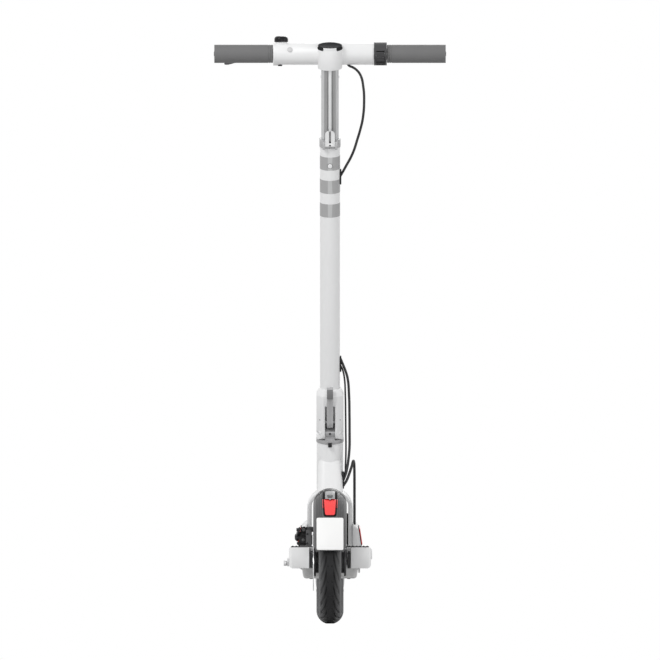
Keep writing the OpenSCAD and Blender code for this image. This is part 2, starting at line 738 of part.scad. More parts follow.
module at_hinge() translate([0, hinge_n, hinge_s]) children();
module on_hinge() on_stem() at_hinge() children();
module fold_base() color(grey) on_stem() {
    difference() {
        union() {
            rod_z(flange_r, flange_bottom, flange_top);
            at_hinge() rod_x(lug_r, -lug_half, lug_half);
            block(-lug_half, lug_half, hinge_n - 9, hinge_n + 9, flange_top - 1, hinge_s);
        }
        rod_z(steerer_r + seat, flange_bottom - 1, flange_top + 0.01);
        at_hinge() rod_x(fold_pin_r + seat, -lug_half - 1, lug_half + 1);
    }
}
module fold_pin() color(steel) on_hinge() rod_x(fold_pin_r, -pin_half, pin_half);
module fold_bumper() color(black) on_stem() {
    block(-bumper_half, bumper_half, -flange_r - bumper_t, -head_r - gap, flange_bottom - bumper_drop,
        flange_bottom);
    block(-bumper_half, bumper_half, -flange_r - bumper_t, -flange_r - seat, flange_bottom - 1,
        flange_bottom + 3);
}
module block_outline(half) polygon([for (s = [[1, 1], [-1, 1], [-1, -1], [1, -1]])
    each s[0] * s[1] > 0 ? [[s[0] * half, s[1] * half / 2], [s[0] * half / 2, s[1] * half]]
    : [[s[0] * half / 2, s[1] * half], [s[0] * half, s[1] * half / 2]]]);
lever_half = 6;
lever_top = block_top + 8;
module fold_block() color(white) on_stem() {
    difference() {
        union() {
            slab_z(block_bottom, block_top - 12) block_outline(block_half);
            hull() {
                slab_z(block_top - 12.1, block_top - 12) block_outline(block_half);
                slab_z(block_top - 0.1, block_top) block_outline(main_r + 0.4);
            }
        }
        difference() {
            block(-block_half - 1, block_half + 1, -block_half - 1, hinge_n, block_bottom - 1, hinge_s);
            at_hinge() rod_x(hinge_r, -block_half - 2, block_half + 2);
        }
        at_hinge() rod_x(lug_sweep, -slot_half, slot_half);
        block(-slot_half, slot_half, -block_half - 1, lever_n + cam_r + 1, hinge_s, lever_s + cam_r + 20);
        at_hinge() rod_x(fold_pin_r + run, -block_half - 1, block_half + 1);
        translate([0, lever_n, lever_s]) rod_x(3 + run, -15, 15);
        rod_z(main_r + seat, block_top - socket_depth, block_top + 1);
    }
}
module fold_lever() color(grey) on_stem() translate([0, lever_n, lever_s]) {
    back = -lever_n - block_half - gap;
    reach = lever_top - lever_s;
    rod_x(3, -14.5, 14.5);
    rod_x(cam_r, -lever_half, lever_half);
    block(-lever_half, lever_half, -cam_r, back, 0, reach);
    block(-lever_half, lever_half, -cam_r - 4, -cam_r + 1, reach - 22, reach - 4);
}

// Stem tubes and the quick release

main_bore = upper_r + 0.5;
pad_depth = main_bore + 1;
bolt_s = main_top - 34.5;
bolt_r = 2.5;
module stem_pad(mid, h, grow) translate([0, 0, mid]) slab_x(pad_depth - grow, main_r + 2.65)
    slot_outline(12 + 2 * grow, h + 2 * grow);
pad_low = block_top + 47.5;
pad_high = main_top - 60.5;
pad_low_h = 32;
pad_high_h = 31;
module main_tube() color(white) on_stem() {
    difference() {
        rod_z(main_r, block_top - socket_depth, main_top);
        rod_z(main_bore, block_top - socket_depth - 1, main_top + 1);
        stem_pad(pad_low, pad_low_h, seat);
        stem_pad(pad_high, pad_high_h, seat);
        translate([0, 0, bolt_s]) rod_y(bolt_r + seat, -main_r - 1, 0);
    }
}
band_t = 0.3;
band_h = 26;
band_tops = [17.5, 63.8, 110.8];
module stem_bands() color(grey) on_stem() {
    difference() {
        for (drop = band_tops) translate([0, 0, main_top - drop - band_h])
            ring_z(main_r + seat, main_r + band_t, 0, band_h);
        stem_pad(pad_high, pad_high_h, seat);
        translate([0, 0, bolt_s]) rod_y(4.4, -main_r - 2, 0);
    }
}
module stem_grommets() color(black) on_stem() {
    stem_pad(pad_low, pad_low_h, 0);
    stem_pad(pad_high, pad_high_h, 0);
}
module stem_bolt() color(white) on_stem() translate([0, 0, bolt_s]) {
    rod_y(bolt_r, -main_r - 0.5, -main_bore);
    rod_y(4.3, -main_r - 2, -main_r - 0.05);
}
module collar() color(grey) on_stem() {
    difference() {
        union() {
            rod_z(main_r + collar_proud, main_top, collar_top);
            block(-qr_half - 5, qr_half + 5, qr_n - 3.5, 0, main_top, collar_top);
        }
        rod_z(upper_r + 0.08, main_top - 1, collar_top + 1);
        block(-1, 1, -40, 0, main_top - 1, collar_top + 1);
        block(-qr_half - 0.4, qr_half + 0.4, -40, qr_n + 3.5, main_top - 1, collar_top + 1);
        translate([0, qr_n, qr_s]) rod_x(2.5 + run, -qr_half - 6, qr_half + 6);
    }
}
module qr_lever() color(white) on_stem() translate([0, qr_n, qr_s]) {
    rod_x(2.5, -qr_half - 4.5, qr_half + 4.5);
    rod_x(qr_t, -qr_half, qr_half);
    difference() {
        slab_y(-qr_t, qr_t) round_box(2 * qr_half, qr_len, qr_round, 1);
        slab_y(-qr_t - 1, 1.6 - qr_t) translate([0, qr_len - 11]) slot_outline(4, 26);
    }
}
upper_len = 320;
upper_socket = 10;
upper_wall = 2.6;
upper_low = cap_bottom - upper_len;
module upper_tube() color(steel) on_stem() {
    difference() {
        rod_z(upper_r, upper_low, cap_bottom + upper_socket);
        rod_z(upper_r - upper_wall, upper_low - 1, cap_bottom + upper_socket + 1);
        for (side = [-1, 1]) translate([side * 6.5, 0, 0])
            block(-3.5, 3.5, -upper_r - 1, 1.3 - upper_r, upper_low - 1, cap_bottom);
    }
}

// Handlebar

boss_top = brake_s + 13;
boss_low = brake_s - 13;
bell_low = sleeve_r + 1.7;
bell_h = 11.2;
bell_wall = 1.6;
bell_round = 6;
bell_pin_r = 3;
module on_bell() on_bar() rotate([-stem_lean, 0, 0]) translate([bell_x, 0, 0]) children();
module on_button() on_bar() translate([button_x, 0, 0]) rotate([90 - button_up, 0, 0]) children();
module head_casting() color(white) {
    difference() {
        union() {
            on_stem() rod_z(head_cap_r, cap_bottom, display_seat);
            on_bar() rod_x(sleeve_r, -sleeve_left, sleeve_right);
            on_stem() slab_z(boss_low, boss_top) {
                translate([brake_x, brake_n]) circle(boss_r);
                translate([brake_x - boss_r, bar_fwd + 12]) square([2 * boss_r, brake_n - bar_fwd - 12]);
            }
        }
        on_stem() rod_z(head_cap_r + 0.1, display_seat, display_seat + 30);
        on_stem() rod_z(upper_r + seat, cap_bottom - 1, cap_bottom + upper_socket + seat);
        on_bar() rod_x(bar_r + seat, -sleeve_left - 1, sleeve_right + 1);
        on_stem() translate([brake_x, 0, 0])
            block(-30, boss_r + 1, bar_fwd + sleeve_r + 0.5, brake_n + 30, boss_low + boss_ear,
                boss_top - boss_ear);
        on_stem() translate([brake_x, brake_n, 0]) rod_z(brake_pin_r + run, boss_low - 1, boss_top + 1);
        on_button() rod_z(button_r + run, 14, sleeve_r + 3);
        on_bell() rod_z(bell_pin_r + 0.5, 15, sleeve_r + 1);
    }
}
module mode_button() color(grey) on_button() rod_z(button_r, 16, sleeve_r + 1.4);
module display() color(black) on_stem() {
    difference() {
        rod_z(head_cap_r - 0.5, display_seat, display_seat + display_t);
        rod_z(head_cap_r - 3, display_seat + display_t - 0.6, display_seat + display_t + 1);
    }
}
module bar_tube() color(steel) on_bar() ring_x(bar_r - 2, bar_r, 8 - bar_w / 2, bar_w / 2 - 8);
module grips() color([0.48, 0.48, 0.48]) on_bar() {
    difference() {
        rod_x(grip_r, throttle_out + gap, bar_w / 2);
        rod_x(bar_r + seat, throttle_out, bar_w / 2 - 8 + seat);
    }
    difference() {
        rod_x(grip_r, -bar_w / 2, -sleeve_left - gap);
        rod_x(bar_r + seat, 8 - seat - bar_w / 2, -sleeve_left);
    }
}
paddle_x0 = throttle_in + 4.6;
paddle_x1 = throttle_out - 4.6;
module throttle_housing() color(dark) on_bar() {
    difference() {
        ring_x(bar_r + seat, throttle_r, throttle_in, throttle_out);
        ring_x(bar_r - 1, bar_r + 5.4, paddle_x0 - gap, paddle_x1 + gap);
        arc_x(150, 250) translate([bar_r, paddle_x0 - gap]) square([20, paddle_x1 - paddle_x0 + 2 * gap]);
    }
}
module throttle_lever() color(dark) on_bar() {
    ring_x(bar_r + run, bar_r + 5, paddle_x0, paddle_x1);
    wide = paddle_x1 - paddle_x0;
    arc_x(156, 204) translate([bar_r + 4, paddle_x0]) square([throttle_r - bar_r - 3.4, wide]);
    for (a = [160 : 8 : 200]) arc_x(a - 1.5, a + 1.5)
        translate([throttle_r - 1, paddle_x0]) square([2.6, wide]);
}
module bell_base() color(black) on_bell() {
    difference() {
        union() {
            rod_z(bell_r - bell_wall - gap, 15, bell_low + 2.5);
            translate([-2.3, 0, 0]) rod_z(4, -sleeve_r - 2.6, -15);
        }
        rod_x(sleeve_r + bond, -30, 30);
        rod_z(bell_pin_r + run, 14, bell_low + 4);
    }
}
module bell_outline(inset) {
    r = bell_r - inset;
    h = bell_h - inset;
    f = bell_round - inset;
    square([r - f, h]);
    square([r, h - f]);
    translate([r - f, h - f]) circle(f);
}
module bell_cap() color(black) on_bell() translate([0, 0, bell_low]) {
    rotate_extrude() difference() {
        bell_outline(0);
        translate([0, -1]) square([bell_r - bell_wall, 2]);
        bell_outline(bell_wall);
    }
    rod_z(bell_pin_r, -5, bell_h - bell_wall / 2);
}
module headlight() color(black) on_bar() {
    difference() {
        slab_z(-12, 12) translate([0, sleeve_r - 7]) round_box(34, 20, 8, 2);
        rod_x(sleeve_r + seat, -30, 30);
        rod_y(9, sleeve_r + 11.5, sleeve_r + 20);
    }
}
module brake_lever() color(black) on_stem() translate([brake_x, brake_n, brake_s]) {
    tall = boss_top - boss_low - 2 * boss_ear - 0.6;
    rod_z(brake_pin_r, boss_low - brake_s + 0.5, boss_top - brake_s - 0.5);
    rod_z(7.5, -tall / 2, tall / 2);
    blade = [[0, 0, 0, 6.5, tall], [-26, 12, -1, 4.5, 11], [-60, 16, -4, 4, 11], [-98, 17, -14, 5, 11]];
    for (i = [0 : len(blade) - 2]) hull() for (p = [blade[i], blade[i + 1]])
        translate([p[0], p[1], p[2] - p[4] / 2]) cylinder(r = p[3], h = p[4], $fn = 24);
}

// Cables held along the right side

module bar_cable() color(black) at_front_axle() swept(bar_route, bar_cable_d, 8, 2);
module stem_cables() color(black) at_front_axle() {
    swept(loom_route, loom_d, 8, 2);
    swept(brake_route, brake_cable_d, 8, 2);
}
module motor_cable() color(black) at_front_axle() swept(motor_route, motor_cable_d, 8, 1);

deck_frame();
neck();
deck_mat();
battery();
controller();
belly_cover();
rear_dropouts();
rear_axle();
rear_fender();
fender_catch();
tail_light();
tail_plate();
caliper_body();
kickstand_bracket();
charge_socket();
headset_cups();
neck_grommet();
fork();
fork_covers();
reflectors();
front_mudguard();
front_axle();
motor_stator();
fold_base();
fold_pin();
fold_bumper();
front_hub();
front_tyre();
front_bearings();
rear_hub();
rear_tyre();
brake_disc();
rear_bearings();
fold_block();
main_tube();
stem_bands();
stem_grommets();
stem_bolt();
collar();
fold_lever();
qr_lever();
upper_tube();
head_casting();
display();
bar_tube();
grips();
throttle_housing();
bell_base();
headlight();
throttle_lever();
bell_cap();
mode_button();
brake_lever();
caliper_arm();
brake_pad();
kickstand();
charge_cap();
bar_cable();
stem_cables();
motor_cable();
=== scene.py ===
import json
from math import atan2, cos, hypot, pi, radians, sin, sqrt
import bmesh
import bpy
from mathutils import Matrix, Vector


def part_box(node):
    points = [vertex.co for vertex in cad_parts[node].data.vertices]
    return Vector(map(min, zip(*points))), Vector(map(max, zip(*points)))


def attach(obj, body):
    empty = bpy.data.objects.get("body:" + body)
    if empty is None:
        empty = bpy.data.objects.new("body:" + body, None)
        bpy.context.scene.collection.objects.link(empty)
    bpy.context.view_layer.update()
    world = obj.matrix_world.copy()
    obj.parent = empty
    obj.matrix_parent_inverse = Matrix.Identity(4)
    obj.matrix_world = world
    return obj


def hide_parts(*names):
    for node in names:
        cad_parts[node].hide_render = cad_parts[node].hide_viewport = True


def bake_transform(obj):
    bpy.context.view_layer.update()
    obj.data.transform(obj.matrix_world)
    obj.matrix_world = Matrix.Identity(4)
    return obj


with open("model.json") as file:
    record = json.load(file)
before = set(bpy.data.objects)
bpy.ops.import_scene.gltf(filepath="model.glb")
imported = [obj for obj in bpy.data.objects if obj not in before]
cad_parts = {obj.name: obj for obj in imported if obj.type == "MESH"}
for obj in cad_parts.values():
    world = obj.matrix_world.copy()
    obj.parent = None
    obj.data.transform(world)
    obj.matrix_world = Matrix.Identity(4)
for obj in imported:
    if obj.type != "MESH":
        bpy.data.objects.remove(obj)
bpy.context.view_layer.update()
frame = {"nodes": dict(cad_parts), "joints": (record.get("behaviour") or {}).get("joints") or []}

# Studio. A pale floor under plain soft light, with a white surround. The camera looks level
# along +Y at the tail. It is a parallel view, because near and far pieces share one scale.
scene = bpy.context.scene
scene.view_settings.view_transform = "Standard"

frame_height, eye_height, eye_back = 1.2672, 0.5637, 4
eye_data = bpy.data.cameras.new("eye")
eye_data.type = "ORTHO"
eye_data.ortho_scale = frame_height
eye = bpy.data.objects.new("eye", eye_data)
eye.location = (0, -eye_back, eye_height)
eye.rotation_euler = (radians(90), 0, 0)
scene.collection.objects.link(eye)
scene.camera = eye


def soft_box(name, at, aim, size, power):
    """A soft area light that stands at one point and looks at another."""
    lamp_data = bpy.data.lights.new(name, "AREA")
    lamp_data.shape = "RECTANGLE"
    lamp_data.size, lamp_data.size_y = size
    lamp_data.energy = power
    lamp = bpy.data.objects.new(name, lamp_data)
    lamp.location = at
    lamp.rotation_euler = (Vector(aim) - Vector(at)).to_track_quat("-Z", "Y").to_euler()
    scene.collection.objects.link(lamp)


soft_box("key_left", (-2.6, -2.85, 3.8), (0, 0, 0.6), (1.6, 2.0), 96)
soft_box("fill_right", (3.2, -1.6, 1.4), (0, 0, 0.5), (1.2, 2.0), 16)
soft_box("low_fill", (0.6, -4.2, 0.8), (0, 0, 0.5), (1.6, 1.6), 21)
soft_box("front_fill", (0.8, 3.6, 2.6), (0, 0, 0.6), (2.0, 2.0), 40)

fill_level, seen_level = 0.62, 1.0
surround = bpy.data.worlds.new("surround")
scene.world = surround
surround.use_nodes = True
sky = surround.node_tree
ray = sky.nodes.new("ShaderNodeLightPath")
seen = sky.nodes.new("ShaderNodeMath")
seen.operation = "MAXIMUM"
seen_all = sky.nodes.new("ShaderNodeMath")
seen_all.operation = "MAXIMUM"
level = sky.nodes.new("ShaderNodeMapRange")
level.inputs["To Min"].default_value = fill_level
level.inputs["To Max"].default_value = seen_level
sky.links.new(ray.outputs["Is Camera Ray"], seen.inputs[0])
sky.links.new(ray.outputs["Is Glossy Ray"], seen.inputs[1])
sky.links.new(seen.outputs[0], seen_all.inputs[0])
sky.links.new(ray.outputs["Is Transmission Ray"], seen_all.inputs[1])
sky.links.new(seen_all.outputs[0], level.inputs["Value"])
sky.links.new(level.outputs[0], sky.nodes["Background"].inputs["Strength"])
sky.nodes["Background"].inputs["Color"].default_value = (1, 1, 1, 1)


def finish(name, tone, rough, metal=0.0, mottle=0.04, broad=14, grain=700, bump=0.04, coat=0.0,
           gleam=0.5, stretch=(1, 1, 1), tilt=0.0, side_tone=None, side_from=0.0, side_to=1.0):
    """A finish with uneven tone, and a fine grain that moves its gloss and its surface. A side tone
    takes over by the distance from the scooter's middle plane."""
    gloss_spread, least_rough, grain_depth = 0.07, 0.03, 0.0004
    paint = bpy.data.materials.new(name)
    paint.use_nodes = True
    tree = paint.node_tree
    shader = tree.nodes["Principled BSDF"]
    shader.inputs["Metallic"].default_value = metal
    shader.inputs["Coat Weight"].default_value = coat
    shader.inputs["Specular IOR Level"].default_value = gleam
    place = tree.nodes.new("ShaderNodeTexCoord")
    lay = tree.nodes.new("ShaderNodeMapping")
    lay.inputs["Rotation"].default_value = (radians(tilt), 0, 0)
    lay.inputs["Scale"].default_value = stretch
    tree.links.new(place.outputs["Object"], lay.inputs["Vector"])
    cloud = tree.nodes.new("ShaderNodeTexNoise")
    cloud.inputs["Scale"].default_value = broad
    cloud.inputs["Detail"].default_value = 3
    speck = tree.nodes.new("ShaderNodeTexNoise")
    speck.inputs["Scale"].default_value = grain
    speck.inputs["Detail"].default_value = 2
    for noise in (cloud, speck):
        tree.links.new(lay.outputs["Vector"], noise.inputs["Vector"])
    shade = tree.nodes.new("ShaderNodeMix")
    shade.data_type = "RGBA"
    shade.inputs["A"].default_value = [max(0, c * (1 - mottle)) for c in tone] + [1]
    shade.inputs["B"].default_value = [min(1, c * (1 + mottle)) for c in tone] + [1]
    tree.links.new(cloud.outputs["Fac"], shade.inputs["Factor"])
    tree.links.new(shade.outputs["Result"], shader.inputs["Base Color"])
    if side_tone:
        split = tree.nodes.new("ShaderNodeSeparateXYZ")
        tree.links.new(place.outputs["Object"], split.inputs["Vector"])
        apart = tree.nodes.new("ShaderNodeMath")
        apart.operation = "ABSOLUTE"
        tree.links.new(split.outputs["X"], apart.inputs[0])
        fade = tree.nodes.new("ShaderNodeMapRange")
        fade.interpolation_type = "SMOOTHSTEP"
        fade.inputs["From Min"].default_value = side_from
        fade.inputs["From Max"].default_value = side_to
        tree.links.new(apart.outputs[0], fade.inputs["Value"])
        both = tree.nodes.new("ShaderNodeMix")
        both.data_type = "RGBA"
        both.inputs["B"].default_value = [*side_tone, 1]
        tree.links.new(shade.outputs["Result"], both.inputs["A"])
        tree.links.new(fade.outputs[0], both.inputs["Factor"])
        tree.links.new(both.outputs["Result"], shader.inputs["Base Color"])
    gloss = tree.nodes.new("ShaderNodeMapRange")
    gloss.inputs["To Min"].default_value = max(least_rough, rough - gloss_spread)
    gloss.inputs["To Max"].default_value = min(1, rough + gloss_spread)
    tree.links.new(speck.outputs["Fac"], gloss.inputs["Value"])
    tree.links.new(gloss.outputs[0], shader.inputs["Roughness"])
    relief = tree.nodes.new("ShaderNodeBump")
    relief.inputs["Strength"].default_value = bump
    relief.inputs["Distance"].default_value = grain_depth
    tree.links.new(speck.outputs["Fac"], relief.inputs["Height"])
    tree.links.new(relief.outputs["Normal"], shader.inputs["Normal"])
    return paint


# The floor bounces less light than it shows, and fades to white away from the scooter.
floor_half, floor_tone, bounce_tone = 6, (0.86, 0.86, 0.86), (0.5, 0.5, 0.5)
fade_near, fade_far = 0.9, 4.5
floor_mesh = bpy.data.meshes.new("floor")
floor_bm = bmesh.new()
bmesh.ops.create_grid(floor_bm, x_segments=1, y_segments=1, size=floor_half)
floor_bm.to_mesh(floor_mesh)
floor_bm.free()
floor = bpy.data.objects.new("floor", floor_mesh)
scene.collection.objects.link(floor)
pale_floor = finish("pale_floor", floor_tone, 0.8, mottle=0.01, broad=3, gleam=0.1)
ground = pale_floor.node_tree
ground_shader = ground.nodes["Principled BSDF"]
ground_ray = ground.nodes.new("ShaderNodeLightPath")
bounce = ground.nodes.new("ShaderNodeMix")
bounce.data_type = "RGBA"
bounce.inputs["A"].default_value = (*floor_tone, 1)
bounce.inputs["B"].default_value = (*bounce_tone, 1)
place = ground.nodes.new("ShaderNodeTexCoord")
reach = ground.nodes.new("ShaderNodeVectorMath")
reach.operation = "LENGTH"
fade = ground.nodes.new("ShaderNodeMapRange")
fade.interpolation_type = "SMOOTHSTEP"
fade.inputs["From Min"].default_value = fade_near
fade.inputs["From Max"].default_value = fade_far
fade_seen = ground.nodes.new("ShaderNodeMath")
fade_seen.operation = "MULTIPLY"
white_far = ground.nodes.new("ShaderNodeEmission")
near_far = ground.nodes.new("ShaderNodeMixShader")
ground.links.new(ground_ray.outputs["Is Diffuse Ray"], bounce.inputs["Factor"])
ground.links.new(bounce.outputs["Result"], ground_shader.inputs["Base Color"])
ground.links.new(place.outputs["Object"], reach.inputs[0])
ground.links.new(reach.outputs["Value"], fade.inputs["Value"])
ground.links.new(fade.outputs[0], fade_seen.inputs[0])
ground.links.new(ground_ray.outputs["Is Camera Ray"], fade_seen.inputs[1])
ground.links.new(fade_seen.outputs[0], near_far.inputs["Fac"])
ground.links.new(ground_shader.outputs[0], near_far.inputs[1])
ground.links.new(white_far.outputs[0], near_far.inputs[2])
ground.links.new(near_far.outputs[0], ground.nodes["Material Output"].inputs["Surface"])
floor_mesh.materials.append(pale_floor)

# Cables. Rubber-sheathed leads that leave the bar, run down the right side of the stem and go
# into rubber grommets. Each is a smooth tube; the loom and the brake lead are made in two parts.
joint_at = {j["name"]: Vector(j["pos_m"]) for j in frame["joints"] if "pos_m" in j}
front_axle = joint_at["front_spin"]
MM = Matrix.Scale(0.001, 4)
AT_FRONT = Matrix.Translation(front_axle) @ MM
cable_rubber = finish("cable_rubber", (0.026, 0.026, 0.027), 0.5, mottle=0.2, broad=60, grain=1600,
                      bump=0.12, gleam=0.3)
bar_thick, loom_thick, brake_thick, motor_thick = 5, 5, 3.5, 5.2
bar_route = [(34, -241, 956), (38, -241, 952.4), (43, -241, 950.4), (51, -241, 945),
             (59, -240.5, 934), (64, -239, 912), (65.5, -236, 886), (63, -230, 852),
             (58, -224, 830), (52, -218, 810), (46, -213, 791), (39.4, -208, 776),
             (31, -204, 761), (24.9, -201, 750), (18.9, -197, 740)]
loom_route = [(18.9, -105, 394), (24.65, -101.5, 380), (30.2, -98, 366), (34, -95, 352),
              (36.5, -89, 322), (37.4, -82, 282), (37.6, -78, 248), (37.4, -76, 220),
              (35, -77, 194), (32, -80, 176), (30, -80.6, 168.8), (25, -82, 156)]
brake_route = [(18.9, -99, 380), (24.05, -96.6, 369.8), (27.8, -94, 352), (29.4, -88, 322),
               (30, -81, 282), (30.3, -77, 248), (30.6, -74, 220), (30.2, -74, 198),
               (29.6, -74.4, 184), (29.2, -75, 173.2), (25, -76, 164)]
motor_route = [(25, -81, 146), (29.8, -79.6, 153.2), (32, -79, 157), (37, -76, 170),
               (42, -71, 185), (44.5, -63, 194), (46, -53, 192), (46.8, -44, 178),
               (47, -38, 152), (47, -34, 122), (47, -31, 96), (47, -29, 72)]


def lead(name, route, thick, node):
    """A lead along its route, as one smooth tube."""
    line = bpy.data.curves.new(name + "_line", "CURVE")
    line.dimensions = "3D"
    line.bevel_depth = thick / 2000
    line.bevel_resolution = 3
    line.use_fill_caps = True
    line.resolution_u = 6
    run = line.splines.new("BEZIER")
    run.bezier_points.add(len(route) - 1)
    for knot, at in zip(run.bezier_points, route):
        knot.co = AT_FRONT @ Vector(at)
        knot.handle_left_type = knot.handle_right_type = "AUTO"
    guide = bpy.data.objects.new(name + "_line", line)
    scene.collection.objects.link(guide)
    bpy.context.view_layer.update()
    shown = guide.evaluated_get(bpy.context.evaluated_depsgraph_get())
    tube = bpy.data.meshes.new_from_object(shown)
    bpy.data.objects.remove(guide)
    tube.name = name
    tube.materials.clear()
    tube.materials.append(cable_rubber)
    made = bpy.data.objects.new(name, tube)
    scene.collection.objects.link(made)
    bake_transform(made)
    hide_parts(node)


lead("bar_lead", bar_route, bar_thick,
     "bar_cable")
lead("motor_lead", motor_route, motor_thick,
     "motor_cable")
loom_cut, brake_cut = 6, 5
lead("loom_upper", loom_route[:loom_cut + 1], loom_thick,
     "stem_cables")
lead("loom_lower", loom_route[loom_cut:], loom_thick,
     "stem_cables")
lead("brake_lead_upper", brake_route[:brake_cut + 1], brake_thick,
     "stem_cables")
lead("brake_lead_lower", brake_route[brake_cut:], brake_thick,
     "stem_cables")

# Deck and neck. A bent aluminium tray with two rear arms, welded to a hollow neck that carries
# the head tube. Both are powder-coated white, with the edges broken all round.
white_coat = finish("white_coat", (0.85, 0.852, 0.855), 0.34, mottle=0.015, broad=9, grain=900,
                    bump=0.05)
white_shell = finish("white_shell", (0.82, 0.822, 0.826), 0.42, mottle=0.02, broad=12, grain=1400,
                     bump=0.06)


def piece(name, bm, body, paint, nodes=(), crease=38, place=None):
    """Writes a finished mesh as a piece that moves with its body, after it is put in its place."""
    if place is not None:
        bmesh.ops.transform(bm, matrix=place, verts=bm.verts)
    bmesh.ops.remove_doubles(bm, verts=bm.verts, dist=1e-6)
    mesh = bpy.data.meshes.new(name)
    bm.to_mesh(mesh)
    bm.free()
    mesh.polygons.foreach_set("use_smooth", [True] * len(mesh.polygons))
    mesh.set_sharp_from_angle(angle=radians(crease))
    mesh.materials.append(paint)
    made = bpy.data.objects.new(name, mesh)
    scene.collection.objects.link(made)
    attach(made, body)
    if nodes:
        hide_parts(*nodes)
    return made


def rounded(bm, geom, width, steps, affect="EDGES", clamp=False):
    """Rounds edges, or the corners of a flat shape."""
    bmesh.ops.bevel(bm, geom=geom, offset=width, offset_type="OFFSET", segments=steps, profile=0.5,
                    affect=affect, material=-1, clamp_overlap=clamp)


def eased(name, node, body, paint, width):
    """The solid of a node, merged, with its edges broken as a cast or moulded piece has them."""
    sharp_angle, flat_angle = radians(28), radians(0.4)
    bm = bmesh.new()
    bm.from_mesh(frame["nodes"][node].data)
    bmesh.ops.remove_doubles(bm, verts=bm.verts, dist=5e-6)
    bmesh.ops.dissolve_limit(bm, angle_limit=flat_angle, use_dissolve_boundaries=False,
                             verts=bm.verts, edges=bm.edges)
    sharp = [e for e in bm.edges
             if len(e.link_faces) == 2 and e.calc_face_angle(0) > sharp_angle]
    rounded(bm, sharp, width / 1000, 2, clamp=True)
    return piece(name, bm, body, paint, (node,))


def tint(made, paint, place, test):
    """Gives the faces whose middle passes the test, in the millimetres of a place, a second
    finish."""
    made.data.materials.append(paint)
    back = place.inverted()
    for face in made.data.polygons:
        if test(back @ face.center):
            face.material_index = len(made.data.materials) - 1


def dress(paint, *nodes):
    """Gives nodes that keep their own shape a finish."""
    for node in nodes:
        for holder in frame["nodes"][node].material_slots:
            holder.material = paint


eased("deck_tray", "deck_frame", "deck", white_coat, 0.8)
eased("neck_casting", "neck", "deck", white_coat, 0.8)
seal_black = finish("seal_black", (0.02, 0.02, 0.021), 0.6, mottle=0.15, broad=40, grain=1500,
                    bump=0.1, gleam=0.25)
eased("neck_seal", "neck_grommet", "deck", seal_black, 0.8)
turned_steel = finish("turned_steel", (0.56, 0.57, 0.58), 0.3, metal=1.0, mottle=0.08, broad=120,
                      grain=2200, bump=0.05)
dress(turned_steel, "headset_cups")

# Battery, controller and belly cover. A wrapped cell pack and a finned control box lie in the
# deck's bay, under a moulded cover that is held by button-head screws. A thin rod stands beside it.
pack_wrap = finish("pack_wrap", (0.03, 0.09, 0.28), 0.28, mottle=0.12, broad=30, grain=300,
                   bump=0.2)
cast_grey = finish("cast_grey", (0.34, 0.345, 0.35), 0.45, metal=0.85, mottle=0.08, broad=60,
                   grain=1100, bump=0.1)
dress(pack_wrap, "battery")
dress(cast_grey, "controller")
belly_shell = finish("belly_shell", (0.8, 0.8, 0.795), 0.5, mottle=0.02, broad=10, grain=1500,
                     bump=0.1)
black_zinc = finish("black_zinc", (0.03, 0.03, 0.032), 0.34, metal=0.6, mottle=0.2, broad=300,
                    grain=2500, bump=0.05)
belly_lo, belly_hi = [Vector(corner) * 1000 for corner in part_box("belly_cover")]
belly_half, belly_taper, belly_wall, belly_corner, belly_edge = 53.8, 2.8, 2.4, 9, 5.5
shell = bmesh.new()
bmesh.ops.create_cube(shell, size=1)
for v in shell.verts:
    half = belly_half if v.co.z > 0 else belly_half - belly_taper
    v.co = (half * (1 if v.co.x > 0 else -1), belly_hi.y if v.co.y > 0 else belly_lo.y,
            belly_hi.z if v.co.z > 0 else belly_lo.z)
corners = [e for e in shell.edges if abs(e.verts[0].co.x - e.verts[1].co.x) < belly_taper + 1
           and abs(e.verts[0].co.y - e.verts[1].co.y) < 1]
rounded(shell, corners, belly_corner, 6)
rim = [e for e in shell.edges if all(v.co.z < belly_lo.z + 0.1 for v in e.verts)
       and e.calc_face_angle(0) > radians(30)]
rounded(shell, rim, belly_edge, 5)
lid = [f for f in shell.faces if f.calc_center_median().z > belly_hi.z - 0.1]
bmesh.ops.delete(shell, geom=lid, context="FACES")
bmesh.ops.recalc_face_normals(shell, faces=shell.faces)
bmesh.ops.solidify(shell, geom=list(shell.faces), thickness=belly_wall)
bmesh.ops.transform(shell, matrix=MM, verts=shell.verts)


def turn(bm, profile, axis="Z", steps=48, sweep=360, first=0):
    """Spins a profile of (radius, height) points about an axis through the origin."""
    seats = {"X": ((1, 0, 0), lambda r, h: (h, r, 0)), "Y": ((0, 1, 0), lambda r, h: (0, h, r)),
             "Z": ((0, 0, 1), lambda r, h: (r, 0, h))}
    line, seat = seats[axis]
    knots = [bm.verts.new(seat(r, h)) for r, h in profile]
    edges = [bm.edges.new(pair) for pair in zip(knots, knots[1:])]
    bmesh.ops.transform(bm, matrix=Matrix.Rotation(radians(first), 4, axis), verts=knots)
    bmesh.ops.spin(bm, geom=knots + edges, axis=line, cent=(0, 0, 0), dvec=(0, 0, 0),
                   angle=radians(sweep), steps=steps, use_merge=sweep == 360, use_duplicate=False)


def turned(profile, axis="Z", steps=48):
    """A closed turned shape, with its seam and poles merged and its faces outwards."""
    bm = bmesh.new()
    turn(bm, profile, axis, steps)
    bmesh.ops.remove_doubles(bm, verts=bm.verts, dist=0.002)
    bmesh.ops.recalc_face_normals(bm, faces=bm.faces)
    return bm


def join(whole, one, place):
    """Moves one shape to its place in a larger one."""
    bmesh.ops.transform(one, matrix=place, verts=one.verts)
    scrap = bpy.data.meshes.new("scrap")
    one.to_mesh(scrap)
    one.free()
    whole.from_mesh(scrap)
    bpy.data.meshes.remove(scrap)


